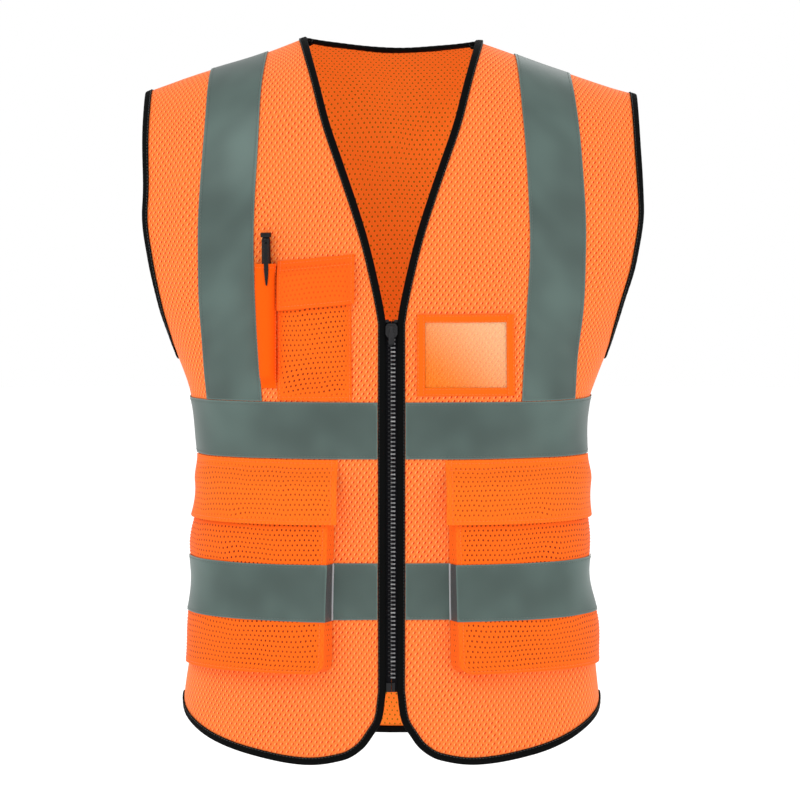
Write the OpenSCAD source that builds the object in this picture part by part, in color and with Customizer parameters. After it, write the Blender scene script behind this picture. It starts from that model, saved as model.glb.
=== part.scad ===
// High visibility vest: sleeveless zip front, mesh body, reflective bands, chest pocket with pen,
// card holder and two flapped bellows pockets.
// Right and left are the wearer's. +X is the wearer's left, the front faces -Y, and +Z is up.
// The origin is midway between the two neck points, at their height.

/* [Garment] */
// Half of the distance between the neck points
neck_half = 76; // [65:1:92]
// Half of the width across the shoulder tips
shoulder_half = 221; // [200:1:255]
// Fall of the shoulder seam from neck point to shoulder tip
shoulder_fall = 50; // [35:1:65]
// Depth of the underarm below the neck points
underarm_drop = 283; // [270:1:305]
// Half of the width at the underarm
underarm_half = 195; // [182:1:215]
// Half of the width at the waist
waist_half = 176; // [164:1:205]
// Half of the width at the side hem
hem_half = 190; // [175:1:225]
// Depth of the side hem below the neck points
side_hem_drop = 598; // [590:1:700]
// How far the front hem dips below the side hem
front_hem_dip = 44; // [34:1:60]
// How far the back hem dips below the side hem
back_hem_dip = 51; // [34:1:70]
// Depth of the back neckline below the neck points
back_neck_drop = 6; // [4:1:20]
// Distance of the centre front from the shoulder seam plane
front_depth = 110; // [95:1:132]
// Distance of the centre back from the shoulder seam plane
back_depth = 115; // [95:1:138]

/* [Cloth and bindings] */
// Thickness of the mesh cloth
cloth = 0.8; // [0.5:0.1:1.0]
// Width of the folded edge binding
binding_w = 7; // [5:0.5:9]
// Thickness of one leaf of the binding
binding_t = 0.6; // [0.4:0.1:0.9]

/* [Reflective tape] */
// Width of the reflective tape
tape_w = 50; // [40:1:60]
// Thickness of the reflective tape
tape_t = 0.5; // [0.3:0.1:0.8]
// Depth of the upper band's top edge below the neck points
chest_band_drop = 321.5; // [310:0.5:330]
// Depth of the lower band's top edge below the neck points
waist_band_drop = 463.5; // [455:0.5:475]
// Distance of the shoulder braces from the centre, at the upper band
brace_x = 139; // [132:1:146]

/* [Zip] */
// Depth of the top of the zip below the neck points
zip_top_drop = 252; // [240:1:262]
// Depth of the bottom of the zip below the neck points
zip_bottom_drop = 578; // [560:1:580]
// Half of the gap between the two bound front edges
zip_gap_half = 4.9; // [4.7:0.1:6]
// Distance from tooth to tooth along one row
tooth_pitch = 3.6; // [3.2:0.1:4.2]
// Length of the slider
slider_len = 12; // [10:0.5:15]
// Length of the pull tab
pull_len = 15; // [10:1:30]

/* [Chest pocket] */
// Distance of the pocket's inner edge from the centre
chest_pocket_in = 35; // [30:1:45]
// Distance of the seam between pocket and pen sleeve from the centre
chest_pocket_out = 100; // [90:1:103]
// Depth of the flap's inner top corner below the neck points
chest_flap_drop = 191.5; // [180:0.5:200]
// Height of the chest flap
chest_flap_h = 43; // [35:1:55]
// How far the pocket stands off the cloth
chest_pocket_lift = 8; // [7:0.5:12]
// Width of the pen sleeve
sleeve_w = 19.4; // [17:0.1:20]
// Height of the pen sleeve
sleeve_h = 110; // [95:1:116]

/* [Pen] */
// Radius of the pen barrel
pen_r = 4; // [3:0.1:4.4]
// Length of the pen
pen_len = 119; // [110:1:140]
// Length of the pen's clip
clip_len = 37; // [30:1:50]

/* [Card holder] */
// Distance of the card holder's inner edge from the centre
card_in = 22.4; // [18:0.1:26]
// Width of the card holder
card_w = 84.8; // [80:0.1:94]
// Height of the card holder
card_h = 71.3; // [60:0.1:74]
// Depth of the card holder's top below the neck points
card_drop = 244.3; // [235:0.1:247]
// Width of the ribbon round the window
ribbon_w = 6.8; // [5:0.1:9]

/* [Lower pockets] */
// Distance of the pocket's inner seam from the centre
pocket_in = 50; // [45:1:60]
// Depth of the pocket mouth below the neck points
pocket_mouth_drop = 400; // [396:1:406]
// Depth of the pocket bottom below the neck points
pocket_bottom_drop = 560; // [545:1:566]
// How far the pocket stands off the cloth at its bottom
pocket_lift = 16; // [12:0.5:22]
// How far it stands off at its mouth
mouth_lift = 9; // [8:0.5:11]
// Height of the pocket flap
pocket_flap_h = 56; // [48:1:60]
// How far the flap overhangs the pocket's inner seam
flap_overhang = 3; // [2:0.5:6]

/* [Hidden] */

// Air between two cloth layers, more than their facets stray from the curve
air = 0.7;
// Half of the gap left at the shoulder, side and centre back seams
seam = 0.5;
// Where the layers lie, as distances from the middle of the mesh cloth
binding_in = cloth/2 + air;
binding_out = binding_in + binding_t;
tape_in = cloth/2 + air;
// How far the bound edge stands out past the cloth's own edge
edge_out = 1.2;
// Roundness of the body's cross section: 2 is an ellipse, more is squarer
roundness = 2.6;
// Height over which the shoulder rounds over to the front and to the back
front_round = 150;
back_round = 100;
// How much wider than the shoulders the chest's curve reaches
chest_wrap = 29;
// Small step used to measure slopes
tiny_q = 0.004;
tiny_z = 0.4;

orange = [1.0, 0.42, 0.12];
deep_orange = [1.0, 0.36, 0.06];
black = [0.06, 0.06, 0.07];
grey = [0.38, 0.45, 0.43];
clear = [1.0, 0.75, 0.5, 0.5];
steel = [0.25, 0.25, 0.26];

function mix(a, b, t) = a*(1 - t) + b*t;
function hold(v, low, high) = min(max(v, low), high);
function ease(t) = let(h = hold(t, 0, 1)) h*h*(3 - 2*h);
function unit(v) = v/norm(v);

// A smooth curve through knots [position, value], with positions rising
function slope_at(k, i) =
    let(a = max(i - 1, 0), b = min(i + 1, len(k) - 1)) (k[b][1] - k[a][1])/(k[b][0] - k[a][0]);
function span_of(k, p, i = 0) = i >= len(k) - 2 || p <= k[i + 1][0] ? i : span_of(k, p, i + 1);
function curve(k, p) =
    let(at = hold(p, k[0][0], k[len(k) - 1][0]), i = span_of(k, at),
        h = k[i + 1][0] - k[i][0], t = (at - k[i][0])/h)
    k[i][1]*(1 + 2*t)*(1 - t)*(1 - t) + slope_at(k, i)*h*t*(1 - t)*(1 - t)
    + k[i + 1][1]*t*t*(3 - 2*t) + slope_at(k, i + 1)*h*t*t*(t - 1);

// Half width of the body's cross section at a depth below the neck points
chest_half = shoulder_half + chest_wrap;
lower = side_hem_drop - underarm_drop;
side_knots = [
    [0, chest_half], [0.53*underarm_drop, chest_half],
    [0.69*underarm_drop, mix(underarm_half, chest_half, 0.78)],
    [0.845*underarm_drop, mix(underarm_half, chest_half, 0.42)],
    [0.965*underarm_drop, mix(underarm_half, chest_half, 0.09)],
    [underarm_drop, underarm_half],
    [underarm_drop + 0.12*lower, mix(waist_half, underarm_half, 0.36)],
    [underarm_drop + 0.28*lower, waist_half],
    [underarm_drop + 0.6*lower, mix(waist_half, hem_half, 0.15)],
    [underarm_drop + 0.78*lower, mix(waist_half, hem_half, 0.55)],
    [side_hem_drop, hem_half], [side_hem_drop + 100, hem_half + 3]];
function half_width(z) = curve(side_knots, -z);

// Height of the shoulder seam over a point
function seam_z(x) = -shoulder_fall*max(abs(x) - neck_half, 0)/(shoulder_half - neck_half);
function rounding(x, z, r) = let(d = hold(seam_z(x) - z, 0, r)) sqrt(max(0, 1 - pow(1 - d/r, 2)));

// The body's surface. q is 0 at the centre front, 1 at the side seam and 2 at the centre back.
function skin(q, z) =
    let(a = 90*hold(q, 0, 2), w = half_width(z),
        x = w*pow(max(sin(a), 0), 2/roundness), c = cos(a),
        front = c >= 0, deep = front ? front_depth : back_depth,
        r = rounding(x, z, front ? front_round : back_round))
    [x, (front ? -1 : 1)*(seam + deep*r*pow(abs(c), 2/roundness)), z];
function q_at(x, z) = asin(pow(hold(x/half_width(z), 0, 1), roundness/2))/90;
function along_q(q, z) = skin(min(q + tiny_q, 2), z) - skin(max(q - tiny_q, 0), z);
function along_z(q, z) = skin(q, z + tiny_z) - skin(q, z - tiny_z);
function outward(q, z) = unit(cross(along_q(q, z), along_z(q, z)));
function lifted(q, z, lift) = skin(q, z) + lift*outward(q, z);

// Front edge of the cloth: the V of the neck, then straight down beside the zip
edge_x = zip_gap_half + edge_out;
v_neck = [[0, 1], [0.16, 0.835], [0.3, 0.7], [0.44, 0.53], [0.56, 0.385], [0.69, 0.24],
          [0.8, 0.14], [0.93, 0.04], [1, 0]];
function front_edge_x(z) =
    -z >= zip_top_drop ? edge_x : mix(edge_x, neck_half + edge_out, curve(v_neck, -z/zip_top_drop));
// Armhole edge of the cloth, a rounded U from the side, and the side seam below it
tip_x = shoulder_half - edge_out;
tip_z = seam_z(tip_x);
tip_share = pow(1 - pow(tip_x/chest_half, roundness), 1/roundness);
function arm_t(z) = hold((tip_z - z)/(underarm_drop + tip_z), 0, 1);
function outer_q(z) =
    -z >= underarm_drop ? 1 : acos(pow(tip_share*sqrt(1 - pow(arm_t(z), 3.5)), roundness/2))/90;
// Hem of the front and of the back: how far round the body, then how far it dips
front_hem_q = [[0, 0], [0.09, 0.006], [0.137, 0.018], [0.2, 0.043], [0.268, 0.086], [0.385, 0.191],
               [0.56, 0.385], [0.72, 0.587], [0.86, 0.79], [1, 1]];
front_hem_z = [[0.09, 0.1], [0.137, 0.36], [0.2, 0.69], [0.268, 0.9], [0.385, 1], [0.56, 0.84],
               [0.72, 0.6], [0.86, 0.31], [1, 0]];
hem_corner = (side_hem_drop - zip_bottom_drop)/front_hem_dip;
function front_hem(u) =
    [mix(q_at(edge_x, -zip_bottom_drop), 1, curve(front_hem_q, u)),
     -side_hem_drop - front_hem_dip*curve(concat([[0, -hem_corner]], front_hem_z), u)];
back_hem_z = [[0, 1], [0.25, 0.96], [0.45, 0.8], [0.7, 0.4], [1, 0]];
function back_hem(u) =
    [mix(2 - q_at(seam, -side_hem_drop), 1, u), -side_hem_drop - back_hem_dip*curve(back_hem_z, u)];
function back_neck(u) =
    let(x = mix(seam, neck_half + edge_out, u))
    [2 - q_at(x, 0), mix(-back_neck_drop, neck_z, u*u)];

// Rows are close where the shoulder rounds over and at the underarm, then even
round_part = 0.26;
arm_part = (underarm_drop + tip_z)/(side_hem_drop + tip_z);
function down(v) =
    v < 0.35 ? round_part*(1 - cos(90*v/0.35))
    : v < 0.6 ? mix(arm_part, round_part, pow(1 - (v - 0.35)/0.25, 2))
    : mix(arm_part, 1, (v - 0.6)/0.4);

// A patch [q, z] stretched between four edges, each a list of points
function stretched(u, v, top, bottom, inner, outer, c) =
    mix(inner, outer, u) + mix(top, bottom, v)
    - mix(mix(c[0], c[1], u), mix(c[2], c[3], u), v);
neck_z = seam_z(neck_half + edge_out);
function front_inner(v) = let(z = mix(neck_z, -zip_bottom_drop, v)) [q_at(front_edge_x(z), z), z];
function front_outer(v) = let(z = mix(tip_z, -side_hem_drop, v)) [outer_q(z), z];
function seam_point(u) = let(x = mix(neck_half + edge_out, tip_x, u)) [q_at(x, seam_z(x)), seam_z(x)];
function front_at(u, v) =
    stretched(u, v, seam_point(u), front_hem(u), front_inner(v), front_outer(v),
              [seam_point(0), seam_point(1), front_hem(0), front_hem(1)]);
function back_inner(v) = [2 - q_at(seam, -1), mix(-back_neck_drop, -side_hem_drop - back_hem_dip, v)];
function back_outer(v) = let(p = front_outer(v)) [2 - p[0], p[1]];
neck_part = 0.36;
function back_top(u) =
    u < neck_part ? back_neck(u/neck_part)
    : let(p = seam_point((u - neck_part)/(1 - neck_part))) [2 - p[0], p[1]];
function back_at(u, v) =
    stretched(u, v, back_top(u), back_hem(u), back_inner(v), back_outer(v),
              [back_top(0), back_top(1), back_hem(0), back_hem(1)]);

// A closed skin between two grids of points, the first on the side that shows
module shell(a, b) {
    rows = len(a);
    cols = len(a[0]);
    n = rows*cols;
    points = [for (g = [a, b]) for (row = g) for (p = row) p];
    faces = concat(
        [for (r = [0:rows - 2]) for (c = [0:cols - 2]) let(i = r*cols + c)
            each [[i, i + 1, i + cols + 1], [i, i + cols + 1, i + cols],
                  [n + i, n + i + cols + 1, n + i + 1], [n + i, n + i + cols, n + i + cols + 1]]],
        [for (c = [0:cols - 2]) let(i = c, j = (rows - 1)*cols + c)
            each [[i + 1, i, n + i], [i + 1, n + i, n + i + 1],
                  [j, j + 1, n + j + 1], [j, n + j + 1, n + j]]],
        [for (r = [0:rows - 2]) let(i = r*cols, j = r*cols + cols - 1)
            each [[i, i + cols, n + i + cols], [i, n + i + cols, n + i],
                  [j + cols, j, n + j], [j + cols, n + j, n + j + cols]]]);
    polyhedron(points, faces);
}
// A sheet of the thickness given over points [q, z, lift]. Rows go down the body, and q rises in each.
module sheet(grid, thick) {
    shell([for (row = grid) [for (p = row) lifted(p[0], p[1], p[2] + thick/2)]],
          [for (row = grid) [for (p = row) lifted(p[0], p[1], p[2] - thick/2)]]);
}
// Everything is drawn on the wearer's left, and mirrored for the right
module right_side() {
    mirror([1, 0, 0]) children();
}

// Panels
panel_rows = 30;
module front_panel() {
    cols = 17;
    color(orange)
        sheet([for (r = [0:panel_rows]) [for (c = [0:cols])
            let(p = front_at(c/cols, down(r/panel_rows))) [p[0], p[1], 0]]], cloth);
}
back_cols = 14;
module back_panel() {
    cols = back_cols;
    color(orange)
        sheet([for (r = [0:panel_rows]) [for (c = [cols:-1:0])
            let(p = back_at(c/cols, down(r/panel_rows))) [p[0], p[1], 0]]], cloth);
}

// A folded binding along an edge. Each station is [edge point, point one binding width inside].
module binding(stations) {
    count = len(stations);
    reach = binding_w - edge_out;
    loop = [[reach, binding_out], [-edge_out, binding_out], [-edge_out, -binding_out],
            [reach, -binding_out], [reach, -binding_in], [-0.4, -binding_in],
            [-0.4, binding_in], [reach, binding_in]];
    rings = [for (i = [0:count - 1])
        let(e = stations[i][0],
            t = unit(stations[min(i + 1, count - 1)][0] - stations[max(i - 1, 0)][0]),
            s = stations[i][1] - e, b = unit(s - t*(s*t)), n = cross(b, t))
        [for (p = loop) e + p[0]*b + p[1]*n]];
    points = [for (ring = rings) for (p = ring) p];
    faces = concat(
        [for (i = [0:count - 2]) for (j = [0:7]) let(k = (j + 1)%8)
            each [[i*8 + j, i*8 + k, i*8 + 8 + k], [i*8 + j, i*8 + 8 + k, i*8 + 8 + j]]],
        [for (f = [[0, 1, 6, 7], [1, 2, 5, 6], [2, 3, 4, 5]])
            each [[for (k = [3:-1:0]) f[k]], [for (k = f) (count - 1)*8 + k]]]);
    color(black) polyhedron(points, faces);
}
// A station at an edge point [q, z], with the cloth lying towards [dq, dz] across the surface
function station(p, ahead, side) =
    let(e = skin(p[0], p[1]), t = unit(skin(ahead[0], ahead[1]) - e),
        b = unit(cross(outward(p[0], p[1]), t))*side*binding_w,
        jq = along_q(p[0], p[1])/(2*tiny_q), jz = along_z(p[0], p[1])/(2*tiny_z),
        a = jq*jq, c = jz*jz, m = jq*jz, f = jq*b, g = jz*b, det = a*c - m*m,
        dq = (f*c - g*m)/det, dz = (g*a - f*m)/det)
    [e, skin(p[0] + dq, p[1] + dz)];
function stations(path, side) =
    [for (i = [0:len(path) - 1])
        i < len(path) - 1 ? station(path[i], path[i + 1], side)
                          : station(path[i], path[i - 1], -side)];

module front_edge_binding() {
    steps = 32;
    binding(stations([for (i = [0:steps]) front_inner(mix(0.003, 0.995, down(i/steps)))], 1));
}
// At the back neck it bends where the panel does, and stops short of the shoulder
module back_neck_binding() {
    steps = floor(neck_part*back_cols) - 1;
    binding(stations([for (i = [steps:-1:0]) back_neck(i/back_cols/neck_part)], -1));
}
// From the underarm up the front, over the shoulder and down the back
module armhole_binding() {
    steps = 18;
    front = [for (i = [steps:-1:0])
        front_outer(mix(0.0015, arm_part - 0.002, down(0.6*i/steps)/arm_part))];
    back = [for (p = front) [2 - p[0], p[1]]];
    ends = concat(stations(front, 1), stations([for (i = [steps:-1:0]) back[i]], 1));
    binding(ends);
}
module front_hem_binding() {
    steps = 28;
    binding(stations([for (i = [0:steps]) front_hem(mix(0.012, 0.985, i/steps))], 1));
}
module back_hem_binding() {
    steps = 16;
    binding(stations([for (i = [0:steps]) back_hem(mix(0.001, 0.985, i/steps))], -1));
}

// Reflective tape. Lifts are to the middle of the tape.
tape_lift = tape_in + tape_t/2;
brace_bow = [[0, -3], [0.3, 4], [0.52, 7], [0.76, 5], [1, 0]];
function brace_c(z) = brace_x + curve(brace_bow, -z/chest_band_drop);
function fall(t) =
    let(part = front_round/(chest_band_drop - shoulder_fall/2))
    t < 0.5 ? part*(1 - cos(180*t)) : mix(part, 1, 2*t - 1);
function brace_at(u, t) =
    let(z0 = -chest_band_drop*fall(t), x = brace_c(z0) + (u - 0.5)*tape_w,
        z = mix(seam_z(x), -chest_band_drop + 0.5, fall(t)))
    [q_at(x, z), z, tape_lift];
module brace(at_back) {
    rows = 22;
    cols = ceil(tape_w/12.5);
    color(grey)
        sheet([for (r = [0:rows]) [for (c = [0:cols])
            let(p = brace_at((at_back ? cols - c : c)/cols, r/rows))
            [at_back ? 2 - p[0] : p[0], p[1], p[2]]]], tape_t);
}
band_in = zip_gap_half + binding_w + 0.4;
// A level band of tape from x = near to q = far
module band(drop, near, far, at_back) {
    rows = 3;
    cols = 14;
    color(grey)
        sheet([for (r = [0:rows]) [for (c = [0:cols])
            let(z = -drop - tape_w*r/rows, q = mix(q_at(near, z), far, (at_back ? cols - c : c)/cols))
            [at_back ? 2 - q : q, z, tape_lift]]], tape_t);
}
// Zip: the tapes lie behind the bindings, with the teeth between the bound edges
zip_y = -front_depth - seam + binding_out + 0.5;
zip_tape_t = 0.6;
tooth_w = 4.4;
tooth_depth = 2.6;
tooth_h = tooth_pitch*0.42;
// How far each row's teeth reach past the centre
tooth_lap = 0.9;
tooth_end = tooth_w - tooth_lap;
zip_len = zip_bottom_drop - zip_top_drop;
box_h = 8;
teeth = floor((zip_len - slider_len/2 - box_h - 3)/tooth_pitch);
zip_tape_w = 12;
module zip_tape() {
    color(black)
        translate([tooth_end + 0.1, zip_y - zip_tape_t/2, -zip_bottom_drop])
            cube([zip_tape_w, zip_tape_t, zip_len + 2]);
}
module zip_teeth(first) {
    color(black)
        for (i = [0:teeth - 1])
            translate([-tooth_lap, zip_y - tooth_depth/2,
                       -zip_top_drop - slider_len/2 - first - (i + 1)*tooth_pitch])
                cube([tooth_w, tooth_depth, tooth_h]);
}
module top_stop() {
    color(black)
        translate([tooth_end - 1.2, zip_y - 1.6, -zip_top_drop + 0.8])
            difference() {
                cube([3, 3.2, 2.4]);
                translate([1.2, 1.6 - zip_tape_t/2 - 0.1, -1]) cube([4, zip_tape_t + 0.2, 5]);
            }
}
module retainer_box() {
    color(black)
        translate([0.3, zip_y - 2, -zip_bottom_drop + 0.2])
            difference() {
                cube([zip_gap_half - 0.6, 4, box_h]);
                translate([tooth_end - 0.3, 2 - zip_tape_t/2 - 0.1, -1])
                    cube([5, zip_tape_t + 0.2, box_h + 2]);
            }
}
module insertion_pin() {
    color(black)
        translate([0.4, zip_y - 1.2, -zip_bottom_drop + 0.2]) cube([2.6, 2.4, box_h]);
}
// The slider: two plates joined by a wedge at the top, with an eye for the pull tab
plate_t = 1;
slider_w = 10.4;
front_plate_y = -front_depth - seam - binding_out - 0.4;
back_plate_y = zip_y + tooth_depth/2 + 0.3;
slider_z = -zip_top_drop - slider_len;
eye_y = front_plate_y - plate_t - 1.6;
eye_z = -zip_top_drop - 3.4;
eye_r = 0.7;
module plate() {
    rotate([90, 0, 0])
        linear_extrude(plate_t)
            polygon([[-slider_w/2 + 1.6, 0], [slider_w/2 - 1.6, 0], [slider_w/2, 2.5],
                     [slider_w/2, slider_len - 2.5], [slider_w/2 - 2, slider_len],
                     [-slider_w/2 + 2, slider_len], [-slider_w/2, slider_len - 2.5],
                     [-slider_w/2, 2.5]]);
}
module zip_slider() {
    wedge_x = tooth_lap + 0.2;
    color(steel)
        union() {
            translate([0, front_plate_y, slider_z]) plate();
            translate([0, back_plate_y + plate_t, slider_z]) plate();
            translate([wedge_x, front_plate_y - 0.2, -zip_top_drop - 3.8])
                cube([1.2, back_plate_y - front_plate_y + 0.4, 3.6]);
            for (x = [-1, 1])
                translate([x*(tooth_end + 0.65) - 0.35, front_plate_y - 0.1, slider_z + 1])
                    cube([0.7, zip_y - tooth_depth/2 - 0.2 - front_plate_y + 0.1, slider_len - 2]);
            for (x = [-2.6, 1.8])
                translate([x, eye_y - 1.4, eye_z - 1.4])
                    cube([0.8, front_plate_y - eye_y + 1.4 - 0.5, 2.8]);
            translate([-2.2, eye_y, eye_z]) rotate([0, 90, 0]) cylinder(h = 4.4, r = eye_r, $fn = 24);
        }
}
module pull_tab() {
    tab_w = 3;
    tab_t = 1.2;
    color(black)
        difference() {
            union() {
                translate([-tab_w/2, eye_y, eye_z])
                    rotate([0, 90, 0]) cylinder(h = tab_w, r = eye_r + 0.6, $fn = 24);
                translate([-tab_w/2, eye_y - tab_t/2, eye_z - pull_len]) cube([tab_w, tab_t, pull_len]);
                translate([-2.5, eye_y - tab_t/2, eye_z - pull_len]) cube([5, tab_t, pull_len - 4.4]);
            }
            translate([-tab_w, eye_y, eye_z])
                rotate([0, 90, 0]) cylinder(h = 2*tab_w, r = eye_r + 0.08, $fn = 24);
        }
}

// Chest pocket, on the wearer's right; drawn on the left and mirrored
pocket_t = 0.6;
seat = cloth/2 + air + pocket_t/2;
chest_floor = -chest_band_drop + 1.6;
chest_slope = 0.094;
function chest_top(x) = -chest_flap_drop - chest_slope*(x - chest_pocket_in);
chest_mouth = 15;
function chest_swell(u, v) =
    chest_pocket_lift*(1 - pow(abs(2*u - 1), 4))*mix(0.9, 1, ease(v*4))*(1 - ease((v - 0.72)/0.28));
function chest_pocket_at(u, v) =
    let(x = mix(chest_pocket_in, chest_pocket_out, u),
        z = mix(chest_top(x) - chest_mouth, chest_floor, v))
    [q_at(x, z), z, seat + chest_swell(u, v)];
module chest_pocket() {
    rows = 10;
    cols = 10;
    color(deep_orange)
        right_side()
            sheet([for (r = [0:rows]) [for (c = [0:cols]) chest_pocket_at(c/cols, r/rows)]], pocket_t);
}
// Room between pocket front and flap for the two fastening patches
patch_t = 0.6;
flap_clear = pocket_t + 2*patch_t + 3*0.35 + 0.3;
flap_t = 0.8;
function chest_flap_at(u, v) =
    let(x = mix(chest_pocket_in - 2.6, chest_pocket_out - 0.3, u), z = chest_top(x) - chest_flap_h*v,
        pu = hold((x - chest_pocket_in)/(chest_pocket_out - chest_pocket_in), 0, 1),
        swell = chest_pocket_lift*(1 - 0.75*pow(abs(2*pu - 1), 4)))
    [q_at(x, z), z, seat + 0.1 + (swell + flap_clear)*ease(v*chest_flap_h/chest_mouth)];
module chest_flap() {
    rows = 9;
    cols = 10;
    color(deep_orange)
        right_side()
            sheet([for (r = [0:rows]) [for (c = [0:cols]) chest_flap_at(c/cols, r/rows)]], flap_t);
}
patch_w = 24;
patch_h = 14;
// A patch of tape under the middle of the chest flap or on the pocket behind it
module chest_patch(lift) {
    color(black)
        right_side()
            sheet([for (r = [0:2]) [for (c = [0:3])
                let(x = (chest_pocket_in + chest_pocket_out)/2 + (c/3 - 0.5)*patch_w,
                    z = chest_top(x) - chest_mouth - 5 - patch_h*r/2,
                    u = (x - chest_pocket_in)/(chest_pocket_out - chest_pocket_in))
                [q_at(x, z), z, seat + chest_pocket_lift + lift]]], patch_t);
}

// Pen sleeve, between the pocket and the brace
// How far the sleeve starts past the pocket's outer edge
sleeve_inset = 0.8;
sleeve_bulge = 2*pen_r + 2.4;
function sleeve_z(v) = chest_top(chest_pocket_out + sleeve_w) - sleeve_h*v;
function sleeve_at(u, v) =
    let(z = sleeve_z(v), near = chest_pocket_out + sleeve_inset,
        far = min(near + sleeve_w - sleeve_inset, brace_c(z) - tape_w/2 - 0.6))
    [q_at(mix(near, far, u), z), z,
     seat + sleeve_bulge*sqrt(max(0, 1 - pow(2*u - 1, 2)))*(1 - ease((v - 0.88)/0.12))];
module pen_sleeve() {
    rows = 12;
    cols = 12;
    color(deep_orange)
        right_side()
            sheet([for (r = [0:rows]) [for (c = [0:cols]) sleeve_at(0.5 - 0.5*cos(180*c/cols), r/rows)]],
                  pocket_t);
}
// The pen's own line: its point near the foot of the sleeve, its top above the mouth
sleeve_foot = sleeve_z(0.86);
pen_x = chest_pocket_out + sleeve_inset + pen_r + 2;
pen_lean = 2;
pen_seat = cloth/2 + 1.2 + pen_r;
pen_low = lifted(q_at(pen_x, sleeve_foot), sleeve_foot, pen_seat);
pen_high = lifted(q_at(pen_x + pen_lean, sleeve_z(0)), sleeve_z(0), pen_seat);
pen_line = unit(pen_high - pen_low);
pen_turn = [asin(-pen_line[1]), atan2(pen_line[0], pen_line[2]), 0];
module on_pen_line() {
    right_side() translate(pen_low) rotate(pen_turn) children();
}
module pen_barrel() {
    color(black)
        on_pen_line()
            rotate_extrude($fn = 28)
                polygon([[0, 0], [0.8, 0], [1.2, 4], [pen_r - 0.6, 18], [pen_r, 26],
                         [pen_r, pen_len - 3], [pen_r - 0.9, pen_len - 0.8], [0, pen_len]]);
}
clip_gap = sleeve_bulge - pen_r + 1.4;
module pen_clip() {
    ring_h = 4;
    color(black)
        on_pen_line() {
            difference() {
                union() {
                    translate([0, 0, pen_len - 10]) cylinder(h = ring_h, r = pen_r + 0.7, $fn = 28);
                    translate([-1.6, -clip_gap - 1, pen_len - 10])
                        cube([3.2, clip_gap + 1 - pen_r + 0.5, ring_h]);
                    translate([0, -clip_gap, pen_len - 6 - clip_len])
                        rotate([90, 0, 0])
                            linear_extrude(1)
                                polygon([[-0.7, 0], [0.7, 0], [2, 14], [2, clip_len], [-2, clip_len],
                                         [-2, 14]]);
                }
                translate([0, 0, pen_len - 12]) cylinder(h = 12, r = pen_r + 0.06, $fn = 28);
            }
        }
}

// Card holder, on the wearer's left
module card_sheet(inset, lift, thick) {
    cols = 6;
    rows = 5;
    sheet([for (r = [0:rows]) [for (c = [0:cols])
        let(z = -card_drop - inset - (card_h - 2*inset)*r/rows,
            x = card_in + inset + (card_w - 2*inset)*c/cols)
        [q_at(x, z), z, lift]]], thick);
}
window_t = 0.4;
window_lift = cloth/2 + air + window_t/2;
frame_lift = window_lift + window_t/2 + air/2 + pocket_t/2;
module card_frame() {
    color(orange)
        difference() {
            card_sheet(0, frame_lift, pocket_t);
            translate([card_in + ribbon_w, -front_depth - 20, -card_drop - card_h + ribbon_w])
                cube([card_w - 2*ribbon_w, 60, card_h - 2*ribbon_w]);
        }
}
module card_window() {
    color(clear) card_sheet(ribbon_w/2, window_lift, window_t);
}

// Lower pockets: front, gusset, tape and flap
pocket_h = pocket_bottom_drop - pocket_mouth_drop;
side_q = 0.885;
function pocket_z(v) = -pocket_mouth_drop - pocket_h*v;
function pocket_depth(v) = mix(mouth_lift, pocket_lift, ease(v/0.7));
function pocket_near(v) = pocket_in + 4 + 4*v;
function pocket_share(u) = 1 - 0.9*pow(hold(u, 0, 1), 2.2);
// The pocket's edges lie over the waist band, which passes behind it
pocket_low = tape_in + tape_t + air;
pocket_seat = pocket_low + pocket_t/2;
function pocket_lift_at(u, v) = pocket_seat + pocket_depth(v)*pocket_share(u);
function pocket_at(u, v, extra = 0) =
    let(z = pocket_z(v))
    [mix(q_at(pocket_near(v), z), side_q, u), z, pocket_lift_at(u, v) + extra];
module pocket_front() {
    rows = 9;
    cols = 12;
    color(deep_orange)
        sheet([for (r = [0:rows]) [for (c = [0:cols]) pocket_at(c/cols, r/rows)]], pocket_t);
}
// The gusset runs down the pocket's inner side and along its bottom
module pocket_gusset() {
    side_steps = 8;
    bottom_steps = 12;
    floor_z = pocket_z(1);
    function strip(q1, z1, q2, z2, top) = [lifted(q1, z1, pocket_low), lifted(q2, z2, top)];
    function side_strip(v, in) =
        let(z = pocket_z(v) + (v >= 1 ? in : 0))
        strip(q_at(pocket_in + in, z), z, q_at(pocket_near(v) + in, z), z,
              pocket_lift_at(0, v) - pocket_t/2 - air/2);
    function bottom_strip(u, in) =
        let(z = floor_z + in, q1 = mix(q_at(pocket_in + in, z), side_q, u),
            q2 = mix(q_at(pocket_near(1) + in, z), side_q, u))
        strip(q1, z, q2, z, pocket_lift_at(u, 1) - pocket_t/2 - air/2);
    function path(in) = concat([for (i = [0:side_steps]) side_strip(i/side_steps, in)],
                               [for (i = [1:bottom_steps]) bottom_strip(i/bottom_steps*0.97, in)]);
    color(deep_orange) shell(path(0), path(pocket_t));
}
module pocket_tape() {
    rows = 3;
    cols = 12;
    from = (waist_band_drop - pocket_mouth_drop)/pocket_h;
    to = from + tape_w/pocket_h;
    color(grey)
        sheet([for (r = [0:rows]) [for (c = [0:cols])
            pocket_at(mix(0.004, 0.99, c/cols), mix(from, to, r/rows), pocket_t/2 + air + tape_t/2)]],
            tape_t);
}
flap_drop = chest_band_drop + tape_w + 0.9;
flap_q = 0.9;
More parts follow.
